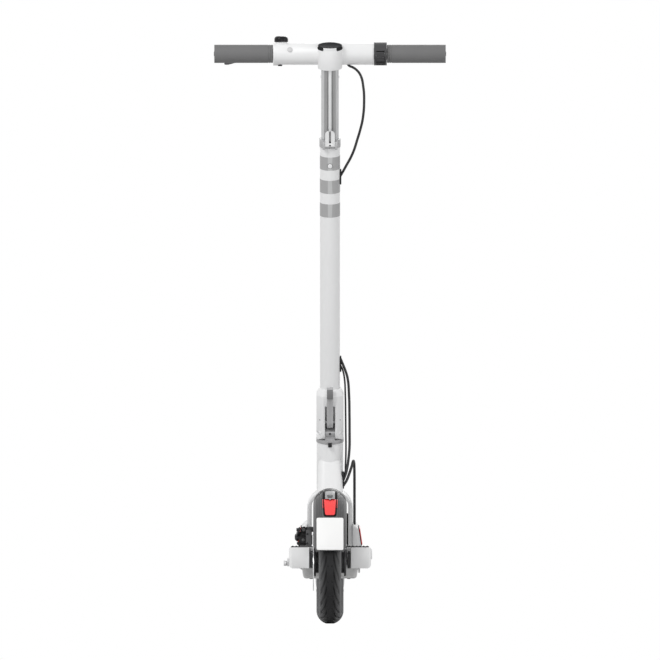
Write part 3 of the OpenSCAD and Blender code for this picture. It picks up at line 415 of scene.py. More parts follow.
def screw_heads(name, seats, r, tall, body, paint):
    """Button-head steel screws with a round socket; each seat is a matrix whose Z axis leaves the
    surface."""
    sink, socket_r, socket_floor = 0.6, r * 0.5, tall * 0.3
    head_line = [(0, -sink), (r, -sink), (r, tall * 0.35), (r * 0.86, tall * 0.8), (r * 0.6, tall),
                 (socket_r, tall), (socket_r, socket_floor), (0, socket_floor)]
    heads = bmesh.new()
    for seat in seats:
        join(heads, turned(head_line, steps=24), seat)
    piece(name, heads, body, paint)


rod_r, rod_tip_r, rod_tip, rod_out, rod_ahead = 1.75, 1.2, 0.9, 2.2, 30
rod_foot = belly_hi.z - 8.5
rod = turned([(0, belly_hi.z), (rod_r, belly_hi.z), (rod_r, rod_foot + rod_tip),
              (rod_tip_r, rod_foot), (0, rod_foot)], steps=20)
join(shell, rod, MM @ Matrix.Translation((belly_half + rod_out, belly_lo.y + rod_ahead, 0)))
piece("belly_shell", shell, "deck", belly_shell, ("belly_cover",))
belly_screw_x, belly_screw_y = 36, (-205, -75, 55, 178)
belly_seats = [MM @ Matrix.Translation((x, y, belly_lo.z)) @ Matrix.Rotation(pi, 4, "X")
               for x in (-belly_screw_x, belly_screw_x) for y in belly_screw_y]
screw_heads("belly_screws", belly_seats, 3.4, 1.0, "deck", black_zinc)

# Deck mat. A rubber sheet, glued to the deck top, with long rounded ribs along the ride between
# its grooves. It is dark grey and lightly dusty.
mat_rubber = finish("mat_rubber", (0.04, 0.04, 0.042), 0.72, mottle=0.25, broad=18, grain=900,
                    bump=0.3, gleam=0.25)
eased("grooved_mat", "deck_mat", "deck", mat_rubber, 0.5)
mat_lo, mat_hi = [Vector(corner) * 1000 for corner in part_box("deck_mat")]
rib_pitch, rib_half, rib_high, rib_sink, rib_count, rib_short = 6.8, 2.1, 1.1, 0.2, 11, 32


def verts_of(made):
    """The vertices that an operator made."""
    return [v for v in made["geom"] if isinstance(v, bmesh.types.BMVert)]


mat_ribs = bmesh.new()
for k in range(-rib_count, rib_count):
    middle = (k + 0.5) * rib_pitch
    end = mat_ribs.faces.new(
        [mat_ribs.verts.new((middle + rib_half * cos(radians(a)), mat_lo.y + 1,
                             mat_hi.z - rib_sink + (rib_high + rib_sink) * sin(radians(a))))
         for a in range(0, 181, 30)])
    run = bmesh.ops.extrude_face_region(mat_ribs, geom=[end])
    bmesh.ops.translate(mat_ribs, vec=(0, mat_hi.y - mat_lo.y - rib_short, 0), verts=verts_of(run))
bmesh.ops.recalc_face_normals(mat_ribs, faces=mat_ribs.faces)
piece("mat_ribs", mat_ribs, "deck", mat_rubber, place=MM)

# Charge port and kickstand. A moulded socket under a hinged white flap on the right side, and a
# bent alloy leg in a white bracket on the left, folded back under the deck's edge.
dark_mould = finish("dark_mould", (0.05, 0.05, 0.052), 0.46, mottle=0.1, broad=25, grain=1300,
                    bump=0.16, gleam=0.35)
black_mould = finish("black_mould", (0.009, 0.009, 0.0095), 0.42, mottle=0.1, broad=25, grain=1500,
                     bump=0.12, gleam=0.2)
leg_alloy = finish("leg_alloy", (0.5, 0.5, 0.505), 0.36, metal=0.7, mottle=0.1, broad=90,
                   grain=1500, bump=0.06)
dress(black_mould, "charge_socket")
eased("charge_flap", "charge_cap", "charge_cap", white_shell, 0.5)
eased("stand_bracket", "kickstand_bracket", "deck", white_shell, 0.8)
eased("stand_leg", "kickstand", "kickstand", leg_alloy, 0.2)

# Rear axle and dropouts. Two dark plates are bolted inside the deck's arms and clamp a steel
# axle between hexagon nuts.
eased("dropout_plates", "rear_dropouts", "deck", dark_mould, 1.4)
eased("rear_axle_set", "rear_axle", "deck", turned_steel, 0.5)
dress(turned_steel, "rear_bearings")

# Tyres. Solid rubber rings, stretched on to their rims, with a painted lighter sheen on the
# shoulders. The middle is smooth and has pairs of pips beside it, and feather-shaped grooves sweep
# out and down to the shoulders.
# The side tone is a painted sheen: the rubber turns lighter towards the shoulders.
tread_painted_sheen = finish("tread_painted_sheen", (0.017, 0.017, 0.018), 0.5, mottle=0.3, broad=26, grain=1300,
                      bump=0.2, gleam=0.22, side_tone=(0.105, 0.105, 0.107), side_from=0.006,
                      side_to=0.02)
wheel_r, tread_flat, tread_edge = 118, 1, radians(60)
rear_half, front_half = 21.75, 26
feather_pitch = 2 * pi * wheel_r / 24
feather_from, feather_run, feather_sweep, feather_bend, feather_slope = 5, 13, 66, 0.6, 3.05
feather_deep, feather_in, feather_out = 2.6, (6.4, 7.8), (17.2, 18.6)
pip_deep, pip_out, pip_edge, pip_shift = 1.6, 4, (0.8, 1.5), 0.78


def smooth_step(low, high, v):
    """Rises smoothly from 0 at low to 1 at high."""
    t = min(1, max(0, (v - low) / (high - low)))
    return t * t * (3 - 2 * t)


def tyre(name, node, body, place, half, bead, rim_r):
    """A tyre with its tread cut in. The tread's sizes are the rear tyre's, and grow with the
    width."""
    centre = wheel_r + tread_flat - half
    side_low = sqrt(half ** 2 - bead ** 2)
    wrap = atan2(bead, -side_low) if centre - side_low > rim_r else atan2(half, 0.0)
    turns = [tread_edge * k / 48 for k in range(49)]
    turns += [tread_edge + (wrap - tread_edge) * k / 14 for k in range(1, 15)]
    turns = [-a for a in turns[:0:-1]] + turns
    seat_r, seat_half = rim_r + 0.3, bead - 0.1
    profile = [(seat_r, -seat_half)]
    profile += [(min(centre + half * cos(a), wheel_r), half * sin(a)) for a in turns]
    profile += [(seat_r, seat_half), (seat_r, -seat_half)]
    bm = turned(profile, "X", steps=480)
    grow = half / rear_half
    for v in bm.verts:
        x, y, z = v.co
        r = hypot(y, z)
        out = abs(x) / grow
        if r < centre + half * 0.45:
            continue
        up = atan2(z, -y) * wheel_r
        along = abs((up / feather_pitch + pip_shift) % 1 - 0.5) * feather_pitch
        pip = pip_deep * (1 - smooth_step(*pip_edge, hypot(along, out - pip_out)))
        reach = max(0.01, (out - feather_from) / feather_run)
        path = up + feather_sweep * reach ** feather_bend
        off = abs((path / feather_pitch + 0.5) % 1 - 0.5) * feather_pitch
        across = off / hypot(1, feather_slope / grow * reach ** (feather_bend - 1))
        wide = 1.0 + 1.1 * reach
        groove = feather_deep * (1 - smooth_step(wide * 0.5, wide * 1.15, across))
        groove *= smooth_step(*feather_in, out) * (1 - smooth_step(*feather_out, out))
        depth = max(pip, groove)
        scale = (r - depth * (r - centre) / half) / r
        v.co = (x * (1 - depth / half), y * scale, z * scale)
    piece(name, bm, body, tread_painted_sheen, (node,), crease=60, place=place)


rear_axle = joint_at["rear_spin"]
AT_REAR = Matrix.Translation(rear_axle) @ MM
tyre("rear_tread", "rear_tyre", "rear_wheel", AT_REAR, rear_half, 15, 76)
tyre("front_tread", "front_tyre", "front_wheel", AT_FRONT, front_half, 19, 74)

# Rear wheel. A cast hub with a drilled web and a rim, in dark grey, and a thin drilled steel disc
# that is screwed to its left flange.
hub_grey = finish("hub_grey", (0.07, 0.07, 0.073), 0.42, metal=0.4, mottle=0.1, broad=40,
                  grain=1000, bump=0.1)
eased("rear_hub_casting", "rear_hub", "rear_wheel", hub_grey, 0.5)
disc_steel = finish("disc_steel", (0.86, 0.86, 0.87), 0.26, metal=1.0, mottle=0.1, broad=70,
                    grain=900, bump=0.06, stretch=(8, 1, 1))
dress(disc_steel, "brake_disc")
flange_x, disc_thick, disc_bolts, disc_bolt_r = -31, 1.8, 6, 22
disc_seats = [AT_REAR @ Matrix.Rotation(2 * pi * k / disc_bolts, 4, "X")
              @ Matrix.Translation((flange_x - disc_thick, 0, disc_bolt_r))
              @ Matrix.Rotation(-pi / 2, 4, "Y") for k in range(disc_bolts)]
screw_heads("disc_screws", disc_seats, 3, 0.5, "rear_wheel", black_zinc)

# Rear brake. A cast black caliper on a grey bracket, bolted to the deck's left arm. It bridges the
# disc, and has a moving pad, a bent pull arm on its outer face, two bosses and socket screws.
cal_y, pad_z, deck_z = 8, 43, 28.5
arm_z = pad_z + 5


def lump(whole, low, high, ease):
    """A cast block with well rounded edges, between two corners."""
    one = bmesh.new()
    bmesh.ops.create_cube(one, size=1)
    bmesh.ops.scale(one, vec=Vector(high) - Vector(low), verts=one.verts)
    bmesh.ops.translate(one, vec=(Vector(high) + Vector(low)) / 2, verts=one.verts)
    rounded(one, list(one.edges), ease, 4, clamp=True)
    join(whole, one, Matrix.Identity(4))


def boss(whole, profile, axis, at):
    """A turned boss on a casting."""
    join(whole, turned(profile, axis, steps=40), Matrix.Translation(at))


def all_of(bm):
    """Every part of a mesh, for the operators that ask for it."""
    return list(bm.verts) + list(bm.edges) + list(bm.faces)


bolt_at, slide_at = (-51.4, cal_y, 42.5), (-50.3, cal_y, 62.2)
bolt_end, slide_end = 18.5, 19
caliper = bmesh.new()
lump(caliper, (-59.5, cal_y - 14, deck_z + 4), (-38, cal_y + 17, 60), 5)
lump(caliper, (-60, cal_y - 19, deck_z), (-47, cal_y + 19, deck_z + 7), 2)
lump(caliper, (-63.8, cal_y - 17, deck_z + 4.5), (-54, cal_y + 8, deck_z + 11), 2.4)
boss(caliper, [(0, -slide_end), (4.8, -slide_end), (6.2, -17.6), (6.2, 17.6), (4.8, slide_end),
               (0, slide_end)], "Y", slide_at)
boss(caliper, [(0, -bolt_end), (6.6, -bolt_end), (8.6, -16.6), (8.6, 10), (0, 10)], "Y", bolt_at)
boss(caliper, [(0, -60.2), (8, -60.2), (10.4, -58), (10.4, -46), (0, -46)], "X", (0, cal_y, arm_z))
piece("caliper_casting", caliper, "deck", black_mould, ("caliper_body",),
      place=AT_REAR)
bridge = bmesh.new()
lump(bridge, (-46, cal_y - 15, 58), (-25, cal_y + 15, 68), 2.4)
lump(bridge, (-29.2, cal_y - 15, 33), (-25, cal_y + 15, 64), 1.6)
boss(bridge, [(0, -30.2), (8.6, -30.2), (9, -29.8), (9, -28), (0, -28)], "X", (0, cal_y, pad_z))
piece("caliper_bridge", bridge, "deck", dark_mould, place=AT_REAR)
bracket_grey = finish("bracket_grey", (0.085, 0.085, 0.087), 0.42, metal=0.3, mottle=0.1, broad=60,
                      grain=1100, bump=0.1)
bracket_back = cal_y - 21
bracket = bmesh.new()
lump(bracket, (-46.4, bracket_back, deck_z), (-34.8, cal_y - 15.4, 62), 1.4)
lump(bracket, (-58, cal_y - 22, deck_z), (-36.5, cal_y - 15, deck_z + 3.6), 1.2)
piece("caliper_bracket", bracket, "deck", bracket_grey, place=AT_REAR)
arm_turn = Matrix.Rotation(radians(55), 4, "X")
arm_bend, arm_set, arm_taper, clamp_out = 10, 0.24, 0.012, 25
blade = bmesh.new()
lump(blade, (-65, -4.5, -4.5), (-60.9, 4.5, 30), 1.9)
bmesh.ops.bisect_plane(blade, geom=all_of(blade), dist=1e-4, plane_co=(0, 0, arm_bend),
                       plane_no=(0, 0, 1))
for v in blade.verts:
    past = max(0, v.co.z - arm_bend)
    v.co = (v.co.x + arm_set * past, v.co.y * (1 - arm_taper * past), v.co.z)
arm = bmesh.new()
join(arm, blade, Matrix.Translation((0, cal_y, arm_z)) @ arm_turn)
boss(arm, [(0, -67.8), (3, -67.8), (5.4, -67), (6.8, -65.2), (8, -64.8), (8, -60.4), (5, -60.4),
           (5, -49), (0, -49)], "X", (0, cal_y, arm_z))
boss(arm, [(0, -64.6), (2.6, -64.6), (3.3, -63.9), (3.3, -57.6), (0, -57.6)], "X",
     Vector((0, cal_y, arm_z)) + arm_turn @ Vector((0, 0, clamp_out)))
piece("pull_arm", arm, "caliper_arm", black_zinc, ("caliper_arm",), place=AT_REAR)
lining = finish("lining", (0.05, 0.042, 0.036), 0.8, mottle=0.3, broad=200, grain=1500, bump=0.4)
dress(lining, "brake_pad")
caliper_seats = [AT_REAR @ Matrix.Translation((-54, cal_y + dy, 60)) for dy in (-9, 11)]
caliper_seats += [AT_REAR @ Matrix.Translation((x, y - end, z)) @ Matrix.Rotation(pi / 2, 4, "X")
                  for (x, y, z), end in ((bolt_at, bolt_end), (slide_at, slide_end))]
screw_heads("caliper_screws", caliper_seats, 3.2, 1.8, "deck", bracket_grey)
bracket_seats = [AT_REAR @ Matrix.Translation((-43.6, bracket_back, z))
                 @ Matrix.Rotation(pi / 2, 4, "X") for z in (36, 54)]
screw_heads("bracket_screws", bracket_seats, 2.2, 1.2, "deck", black_zinc)

# Rear fender. A moulded dark grey arch on a foot behind the deck, with moulded ribs down its back
# and a black band. It carries a red lamp in a black frame, a grey catch and a bare white plate.
fender_mould = finish("fender_mould", (0.078, 0.078, 0.08), 0.46, mottle=0.06, broad=20,
                      grain=1500, bump=0.18, gleam=0.4)
eased("fender_shell", "rear_fender", "deck", fender_mould, 0.5)
fender_r, fender_half = 141.6, 32.3
fender_c = fender_r - fender_half


def crown(x, lift=0.0):
    """The fender's outer radius about the axle at a distance from its middle."""
    return fender_c + sqrt(max(0, (fender_half + lift) ** 2 - x * x))


fin_r, fin_first, fin_sweep = 1.0, 108, 58
ribs = bmesh.new()
for fin_x in (-25.5, -21.5, -17.5, 17.5, 21.5, 25.5):
    lean = fin_x / fender_half
    up = sqrt(1 - lean * lean)
    turn(ribs, [(crown(fin_x) + fin_r * (up * cos(a) - lean * sin(a)),
                 fin_x + fin_r * (lean * cos(a) + up * sin(a)))
                for a in [radians(-100 + 25 * k) for k in range(9)]],
         "X", steps=60, sweep=fin_sweep, first=fin_first)
bmesh.ops.recalc_face_normals(ribs, faces=ribs.faces)
piece("fender_ribs", ribs, "deck", fender_mould, place=AT_REAR)


def cap(bm):
    """Closes the ends of a shape that is spun part of the way round."""
    bmesh.ops.remove_doubles(bm, verts=bm.verts, dist=0.001)
    bmesh.ops.holes_fill(bm, edges=[e for e in bm.edges if e.is_boundary], sides=0)
    bmesh.ops.recalc_face_normals(bm, faces=bm.faces)


band_proud, band_sunk, band_first, band_sweep = 0.5, -0.8, 88, 15
across = [2.0 * k for k in range(-15, 16)]
band_line = [(crown(x, band_proud), x) for x in across]
band_line += [(crown(x, band_sunk), x) for x in reversed(across)]
band = bmesh.new()
turn(band, band_line + band_line[:1], "X", steps=12, sweep=band_sweep, first=band_first)
cap(band)
piece("fender_band", band, "deck", black_mould, place=AT_REAR)


def crown_plate(name, outline, low, high, rounds, paint, nodes=()):
    """A thin moulded plate that follows the fender's crown under an outline seen from behind, whose
    corners have the rounds that are given."""
    cut_shift, brim_ease = 0.6, 0.3
    bm = bmesh.new()
    rim = [bm.verts.new((x, 0, z)) for x, z in outline]
    bm.faces.new(rim)
    for corner, round_r in zip(rim, rounds):
        rounded(bm, [corner], round_r, 4, affect="VERTICES")
    for axis, step, reach in (((1, 0, 0), 2.5, 7), ((0, 0, 1), 3.0, 60)):
        for k in range(-reach, reach + 1):
            bmesh.ops.bisect_plane(bm, geom=all_of(bm), dist=1e-4, plane_no=axis,
                                   plane_co=Vector(axis) * (k * step + cut_shift))
    top = verts_of(bmesh.ops.extrude_face_region(bm, geom=list(bm.faces)))
    bmesh.ops.translate(bm, vec=(0, 1, 0), verts=top)
    bmesh.ops.recalc_face_normals(bm, faces=bm.faces)
    brim = [e for e in bm.edges
            if e.calc_face_angle(0) > radians(60) and all(v.co.y > 0.5 for v in e.verts)]
    rounded(bm, brim, brim_ease, 2)
    for v in bm.verts:
        x, lift, z = v.co
        r = crown(x, low + (high - low) * lift)
        v.co = (x, -sqrt(max(1, r * r - z * z)), z)
    bmesh.ops.recalc_face_normals(bm, faces=bm.faces)
    piece(name, bm, "deck", paint, nodes, place=AT_REAR)


lamp_lo, lamp_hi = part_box("tail_light")
lamp_low, lamp_high = [(corner[2] - rear_axle.z) * 1000 for corner in (lamp_lo, lamp_hi)]
lamp_red = finish("lamp_red", (0.92, 0.06, 0.06), 0.25, mottle=0.06, broad=220, grain=500,
                  bump=0.25, coat=0.15, gleam=0.3, stretch=(3, 1, 1))
lamp_top, lamp_foot, notch = 11.8, 9.4, 2.4
crown_plate("lamp_lens", [(-lamp_top, lamp_high), (-notch, lamp_high), (0, lamp_high - notch),
                          (notch, lamp_high), (lamp_top, lamp_high), (lamp_foot, lamp_low),
                          (-lamp_foot, lamp_low)],
            -0.9, 2.0, (1, 0.4, 0.6, 0.4, 1, 3.2, 3.2), lamp_red, ("tail_light",))
strip_foot = lamp_high - 17
strip = [(13.4, lamp_high), (14.6, lamp_high), (13.9, strip_foot), (13.1, strip_foot)]
for side, name in ((-1, "lamp_edge_left"), (1, "lamp_edge_right")):
    crown_plate(name, [(side * x, z) for x, z in strip], -0.4, 1.4, (0.2,) * 4, lamp_red)
frame_black = finish("frame_black", (0.007, 0.007, 0.007), 0.7, mottle=0.2, broad=80, grain=1500,
                     bump=0.1, gleam=0.08)
frame_top, frame_foot = lamp_high + 14, lamp_low - 2.6
crown_plate("lamp_frame", [(-14.4, frame_top), (14.4, frame_top), (14.6, lamp_high),
                           (12.2, frame_foot), (-12.2, frame_foot), (-14.6, lamp_high)],
            -0.6, 0.8, (2, 2, 0.5, 3.4, 3.4, 0.5), frame_black)
catch_metal = finish("catch_metal", (0.35, 0.35, 0.355), 0.42, metal=0.3, mottle=0.06, broad=60,
                     grain=1200, bump=0.08)
catch = eased("catch", "fender_catch", "deck", catch_metal, 0.7)
catch_lo, catch_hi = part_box("fender_catch")
catch_mid = (catch_lo[2] + catch_hi[2]) * 500 - wheel_r
slot_shade_half, slot_shade_r = 5.2, fender_r + 2.9
# The lower faces in the catch's slot are painted black: painted shade in the slot.
tint(catch, black_mould, AT_REAR,
     lambda c: abs(c.x) < slot_shade_half and c.length < slot_shade_r and c.z < catch_mid)
lip_half, lip_top, lip_foot = 9.4, lamp_high + 6, lamp_high + 0.8
crown_plate("catch_lip", [(-lip_half, lip_top), (lip_half, lip_top), (lip_half, lip_foot),
                          (notch, lip_foot), (0, lip_foot - notch), (-notch, lip_foot),
                          (-lip_half, lip_foot)],
            -0.4, 4.4, (0.4,) * 7, catch_metal)
pad_half, pad_top, pad_foot = 4.6, lamp_high + 8.6, lamp_high + 3.6
crown_plate("catch_pad", [(-pad_half, pad_top), (pad_half, pad_top), (pad_half, pad_foot),
                          (-pad_half, pad_foot)],
            -0.4, 5.2, (0.8,) * 4, bracket_grey)
plate_white = finish("plate_white", (0.88, 0.88, 0.875), 0.32, mottle=0.01, broad=20, grain=1200,
                     bump=0.03)
eased("bare_plate", "tail_plate", "deck", plate_white, 0.4)

# Fork. A white inverted U over the front wheel, with moulded covers over the axle nuts, a red
# reflector on a black plate each side, a black cable guard inside the right leg and a mudguard.
stem_lean = 15
ON_STEM = Matrix.Translation(front_axle) @ Matrix.Rotation(radians(stem_lean), 4, "X") @ MM
eased("fork_arch", "fork", "steering", white_coat, 1.5)
eased("axle_covers", "fork_covers", "steering", white_shell, 2.2)
reflector_red = finish("reflector_red", (0.8, 0.035, 0.035), 0.18, mottle=0.15, broad=500,
                       grain=900, bump=0.5, coat=0.5)
eased("side_reflectors", "reflectors", "steering", reflector_red, 0.6)
reflector_x, reflector_top, reflector_lean = 54.5, 70, atan2(5, 34)
backs = bmesh.new()
for side in (-1, 1):
    back = bmesh.new()
    lump(back, (-1, -11.4, -35.4), (1.7, 11.4, 0.4), 0.8)
    join(backs, back, ON_STEM @ Matrix.Scale(side, 4, (1, 0, 0))
         @ Matrix.Translation((reflector_x, 0, reflector_top))
         @ Matrix.Rotation(-reflector_lean, 4, "Y"))
bmesh.ops.recalc_face_normals(backs, faces=backs.faces)
piece("reflector_plates", backs, "steering", frame_black)
cable_guard = bmesh.new()
lump(cable_guard, (30.4, -8, 31), (35, 4, 97), 1.8)
piece("cable_guard", cable_guard, "steering", black_mould, place=ON_STEM)
eased("mudguard", "front_mudguard", "steering", black_mould, 0.5)
eased("front_axle_set", "front_axle", "steering", turned_steel, 0.5)

# Front wheel. A hub motor: copper windings on a fixed core, inside a grey turned shell with a
# ring of screws on each cover.
copper = finish("copper_wire", (0.62, 0.27, 0.11), 0.32, metal=0.9, mottle=0.25, broad=300,
                grain=900, bump=0.3)
dress(copper, "motor_stator")
motor_grey = finish("motor_grey", (0.32, 0.325, 0.33), 0.34, metal=0.8, mottle=0.05, broad=40,
                    grain=1400, bump=0.06)
eased("motor_shell", "front_hub", "front_wheel", motor_grey, 0.5)
dress(turned_steel, "front_bearings")
shell_bolts, shell_face, shell_bolt_r = 9, 24.6, 58
shell_seats = [AT_FRONT @ Matrix.Rotation(2 * pi * k / shell_bolts, 4, "X")
               @ Matrix.Translation((side * shell_face, 0, shell_bolt_r))
               @ Matrix.Rotation(side * pi / 2, 4, "Y")
               for k in range(shell_bolts) for side in (-1, 1)]
screw_heads("shell_screws", shell_seats, 3.2, 1.8, "front_wheel", black_zinc)

# Fold joint. A grey base on the steerer, a white eight-sided block that hinges on its pin at the
# rear, a grey cam lever with a darker thumb tab in the block's slot and a rubber bumper.
fold_grey = finish("fold_grey", (0.4, 0.4, 0.405), 0.42, metal=0.3, mottle=0.05, broad=60,
                   grain=1200, bump=0.08)
lever_grey = finish("lever_grey", (0.47, 0.47, 0.475), 0.4, metal=0.25, mottle=0.05, broad=60,
                    grain=1200, bump=0.06)
tab_grey = finish("tab_grey", (0.2, 0.2, 0.203), 0.5, metal=0.2, mottle=0.06, broad=60, grain=1200,
                  bump=0.2)
lug_shade_s, tab_low, tab_high, tab_back = 265.4, 332, 351.5, -31.2
fold_foot = eased("fold_base_casting", "fold_base", "steering", fold_grey, 0.8)
# The lug's top is given the darker tab grey as painted shade under the lever.
tint(fold_foot, tab_grey, ON_STEM, lambda c: c.z > lug_shade_s)
dress(turned_steel, "fold_pin")
eased("bumper", "fold_bumper", "steering", seal_black, 0.9)
eased("fold_block_casting", "fold_block", "stem", white_coat, 1.0)
cam_lever = eased("cam_lever", "fold_lever", "fold_lever", lever_grey, 0.8)
tint(cam_lever, tab_grey, ON_STEM, lambda c: tab_low < c.z < tab_high and c.y < tab_back)
knuckle = [ON_STEM @ Matrix.Translation((0, -24.2, 261.2)) @ Matrix.Rotation(pi / 2, 4, "X")]
screw_heads("knuckle_screw", knuckle, 2.1, 0.1, "steering", black_zinc)
chamfer_mid, screw_s, lever_pin_s = 19.5, 262, 288


def on_chamfers(s):
    """Seats on the block's two rear chamfers, at a height along the stem."""
    return [ON_STEM @ Matrix.Translation((side * chamfer_mid, -chamfer_mid, s))
            @ Matrix.Rotation(side * radians(45), 4, "Z") @ Matrix.Rotation(pi / 2, 4, "X")
            for side in (-1, 1)]


screw_heads("fold_screws", on_chamfers(screw_s), 3.2, 0.9, "stem", white_coat)
screw_heads("lever_pin_ends", on_chamfers(lever_pin_s), 1.3, 0.3, "stem", cast_grey)

# Main tube. A white drawn tube with three grey film bands, two rubber cable grommets on the right
# and one bolt at the rear that stops the upper tube. Each band has a paler strip at the back, a
# painted highlight.
dress(white_coat, "main_tube")
film = finish("band_film", (0.4, 0.4, 0.402), 0.4, metal=0.1, mottle=0.03, broad=60, grain=1500,
              bump=0.03)
band_painted_highlight = finish("band_painted_highlight", (0.53, 0.535, 0.535), 0.4, metal=0.1, mottle=0.03, broad=60,
                   grain=1500, bump=0.03)


def copy_of(name, node, body, paint):
    """The solid of a node, merged, to take more than one finish."""
    bm = bmesh.new()
    bm.from_mesh(frame["nodes"][node].data)
    return piece(name, bm, body, paint, (node,))


# The paler strip down the back of each band is a painted highlight.
highlight_half = 4.2
bands = copy_of("grey_bands", "stem_bands", "stem", film)
tint(bands, band_painted_highlight, ON_STEM, lambda c: abs(c.x) < highlight_half and c.y < 0)
eased("cable_seals", "stem_grommets", "stem", seal_black, 0.9)
bolt_s, washer_in, washer_out, washer_low, washer_high = 792.3, 4.3, 5.3, 19.2, 19.8
washer = turned([(washer_in, washer_low), (washer_out, washer_low), (washer_out, washer_high),
                 (washer_in, washer_high), (washer_in, washer_low)], "Y", steps=36)
piece("bolt_washer", washer, "stem", tab_grey,
      place=ON_STEM @ Matrix.Translation((0, 0, bolt_s)) @ Matrix.Rotation(pi, 4, "Z"))
eased("stop_bolt", "stem_bolt", "stem", white_coat, 0.5)

# Quick release. A grey split collar at the top of the main tube, closed by a white lever whose
# back has a slot with two pin ends.
eased("clamp_collar", "collar", "stem", lever_grey, 0.6)
clamp = eased("clamp_lever", "qr_lever", "qr_lever", white_shell, 0.8)
qr_n, qr_s, qr_back, slot_half = -24, 834.5, -27.2, 2.3
slot_painted_shade = finish("slot_painted_shade", (0.22, 0.22, 0.223), 0.5, metal=0.3, mottle=0.1, broad=90,
                   grain=1500, bump=0.1)
# The faces inside the lever's slot are painted dark grey: painted shade in the slot.
tint(clamp, slot_painted_shade, ON_STEM,
     lambda c: abs(c.x) < slot_half and qr_back + 0.7 < c.y < qr_n and c.z > qr_s + 5)
pin_seats = [ON_STEM @ Matrix.Translation((0, n, qr_s + rise)) @ Matrix.Rotation(pi / 2, 4, "X")
             for n, rise in ((qr_back, 0.8), (qr_back + 1.6, 7.0))]
screw_heads("clamp_pins", pin_seats, 1.7, 0.4, "qr_lever", black_zinc)

# Upper tube. Drawn aluminium, clear anodised, with two long grooves at the back that keep it
# from turning in the collar, a rib between them and a small screw each side under the head. The
# grooves are tinted darker as painted shade, and the rib paler as a painted highlight.
grain_run = (3, 3, 0.05)
drawn = finish("drawn_aluminium", (0.6, 0.605, 0.61), 0.36, metal=0.75, mottle=0.05, broad=30,
               grain=500, bump=0.08, stretch=grain_run, tilt=-stem_lean)
groove_painted_shade = finish("groove_painted_shade", (0.33, 0.33, 0.333), 0.45, metal=0.5, mottle=0.05, broad=30,
                     grain=500, bump=0.08, stretch=grain_run, tilt=-stem_lean)
rib_painted_highlight = finish("rib_painted_highlight", (0.86, 0.865, 0.87), 0.4, metal=0.05, mottle=0.04, broad=30,
                  grain=500, bump=0.08, stretch=grain_run, tilt=-stem_lean)
groove_in, groove_out, groove_r = 2.9, 11.4, 14.8
groove_back, groove_front, rib_back = -16.7, -12.4, -16.4
upper = copy_of("drawn_tube", "upper_tube", "handlebar", drawn)
# Painted shade in the grooves and a painted highlight on the rib between them.
tint(upper, groove_painted_shade, ON_STEM, lambda c: groove_in < abs(c.x) < groove_out
     and groove_back < c.y < groove_front and hypot(c.x, c.y) > groove_r)
tint(upper, rib_painted_highlight, ON_STEM, lambda c: abs(c.x) < groove_in and c.y < rib_back)
upper_r, side_screw_s = 17, 965
tube_seats = [ON_STEM @ Matrix.Translation((side * upper_r, 0, side_screw_s))
              @ Matrix.Rotation(side * pi / 2, 4, "Y") for side in (-1, 1)]
screw_heads("tube_screws", tube_seats, 2.6, 0.9, "handlebar", turned_steel)

# Handlebar head. A white casting that joins the stem and the bar sleeve, with a round matt display
# clipped over its top, and a small headlight with a clear lens on the sleeve's front.
eased("head_casting_white", "head_casting", "handlebar", white_coat, 0.9)
bar_n, bar_s = 20, 1005
ON_BAR = ON_STEM @ Matrix.Translation((0, bar_n, bar_s))
display_s, head_r = 1022.4, 23.5
screen_s, screen_r, gap_half, gap_r = display_s + 4, 20.2, 12.3, 22.4
display_black = finish("display_black", (0.03, 0.03, 0.031), 0.7, mottle=0.12, broad=60, grain=900,
                       bump=0.08, gleam=0.02)
screen_black = finish("screen_black", (0.028, 0.028, 0.03), 0.6, mottle=0.12, broad=60, grain=300,
                      bump=0.02, gleam=0.01)
display = eased("display_case", "display", "handlebar", display_black, 0.8)
tint(display, screen_black, ON_STEM,
     lambda c: c.z > screen_s and hypot(c.x, c.y) < screen_r)
tint(display, white_coat, ON_STEM, lambda c: c.z < screen_s and c.y < 0 and abs(c.x) < gap_half
     and hypot(c.x, c.y) > gap_r)
clip_in, clip_out, clip_half, clip_sweep = head_r - 1, head_r + 0.6, 1.6, 56
clip_line = [(clip_in, -clip_half), (head_r + 0.3, -clip_half), (clip_out, -1.2),
             (clip_out, clip_half), (clip_in, clip_half), (clip_in, -clip_half)]
clips = bmesh.new()
for first in (180, 304):
    one = bmesh.new()
    turn(one, clip_line, steps=16, sweep=clip_sweep, first=first)
    cap(one)
    join(clips, one, ON_STEM @ Matrix.Translation((0, 0, display_s)))
piece("display_clips", clips, "handlebar", display_black)
eased("headlight_case", "headlight", "handlebar", black_mould, 0.8)
clear_lens = finish("clear_lens", (0.78, 0.79, 0.8), 0.1, mottle=0.05, broad=300, grain=900,
                    bump=0.15, coat=0.8)
lens_line = [(0, 32.8), (8.8, 32.8), (8.8, 33.3), (8.2, 33.7), (5.6, 34), (5.2, 33.8), (0, 34.1)]
piece("headlight_lens", turned(lens_line, "Y", steps=40), "handlebar", clear_lens,
      place=ON_BAR)

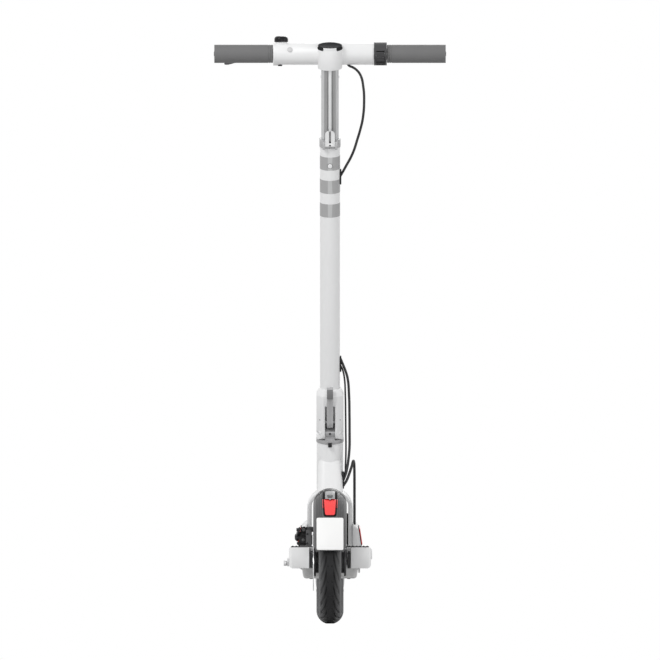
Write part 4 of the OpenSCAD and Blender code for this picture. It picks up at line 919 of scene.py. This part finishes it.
# Bar and grips. A steel bar inside the sleeve, with a grey rubber grip at each end that has rings
# by its flange and a moulded plug in its end.
dress(turned_steel, "bar_tube")
grip_rubber = finish("grip_rubber", (0.17, 0.17, 0.171), 0.68, mottle=0.05, broad=40, grain=1000,
                     bump=0.45, gleam=0.3)
grip_r, ring_r = 17.5, 16.9
grip_line = [(11.1, 109.4), (16.4, 109.4), (grip_r, 110.4), (grip_r, 112.4), (ring_r, 113),
             (ring_r, 114), (grip_r, 114.6), (grip_r, 116.6), (ring_r, 117.2), (ring_r, 118.2),
             (grip_r, 118.8), (grip_r, 221.4), (17.3, 222), (16.7, 222.2), (4.6, 222.2),
             (4.2, 222.9), (3.8, 223), (0, 223)]
grips = turned(grip_line, "X", steps=72)
other = verts_of(bmesh.ops.duplicate(grips, geom=all_of(grips)))
bmesh.ops.scale(grips, vec=(-1, 1, 1), verts=other)
bmesh.ops.recalc_face_normals(grips, faces=grips.faces)
piece("rubber_grips", grips, "handlebar", grip_rubber, ("grips",), place=ON_BAR)

# Throttle. A dark moulded ring beside the right grip, with a paddle that turns on the bar under
# the thumb.
eased("throttle_case", "throttle_housing", "handlebar", dark_mould, 0.8)
eased("throttle_paddle", "throttle_lever", "throttle_lever", dark_mould, 0.5)

# Bell and button. A glossy black dome, pushed to ring, on a white foot with a black stud under the
# bar, and a round grey button for the ride mode on the sleeve's rear face.
gloss_black = finish("gloss_black", (0.012, 0.012, 0.013), 0.24, mottle=0.2, broad=40, grain=600,
                     bump=0.01, gleam=0.17)
bell_x, bell_r, bell_low, bell_high = -93.7, 13.25, 22.7, 33.9
bell_round, bell_wall, bell_crown, bell_edge = 6, 1.6, 0.3, 0.5
ON_BELL = (ON_BAR @ Matrix.Rotation(radians(-stem_lean), 4, "X")
           @ Matrix.Translation((bell_x, 0, 0)))


def shoulder(r, turns):
    """Points of the dome's rounded shoulder, at a radius of the round."""
    return [(bell_r - bell_round + r * sin(radians(a)),
             bell_high - bell_round + r * cos(radians(a))) for a in turns]


dome_line = [(0, bell_high + bell_crown)] + shoulder(bell_round, range(0, 91, 10))
dome_line += [(bell_r, bell_low + bell_edge), (bell_r - bell_edge, bell_low),
              (bell_r - bell_wall, bell_low)]
dome_line += shoulder(bell_round - bell_wall, range(90, -1, -15)) + [(0, bell_high - bell_wall)]
piece("bell_dome", turned(dome_line, steps=64), "bell_cap", gloss_black,
      ("bell_cap",), place=ON_BELL)
bell_pad_low, bell_pad_high, bell_pad_edge = 14, bell_low - 1.7, 0.6
bell_pad = turned([(0, bell_pad_low), (bell_r, bell_pad_low),
                   (bell_r, bell_pad_high - bell_pad_edge),
                   (bell_r - bell_pad_edge, bell_pad_high), (0, bell_pad_high)], steps=64)
piece("bell_pad", bell_pad, "handlebar", white_shell, place=ON_BELL)
bell_foot = copy_of("bell_foot", "bell_base", "handlebar", white_shell)
tint(bell_foot, black_mould, ON_BELL, lambda c: c.z < 0)
button_grey = finish("button_grey", (0.6, 0.6, 0.605), 0.45, mottle=0.05, broad=200, grain=1800,
                     bump=0.1)
eased("ride_button", "mode_button", "mode_button", button_grey, 0.9)

# Brake lever. A dark cast blade that pivots between two ears of the head casting, in front of the
# left grip.
dark_steel = finish("dark_steel", (0.11, 0.11, 0.115), 0.4, metal=0.7, mottle=0.15, broad=90,
                    grain=1500, bump=0.08)
eased("brake_blade", "brake_lever", "brake_lever", dark_steel, 0.8)
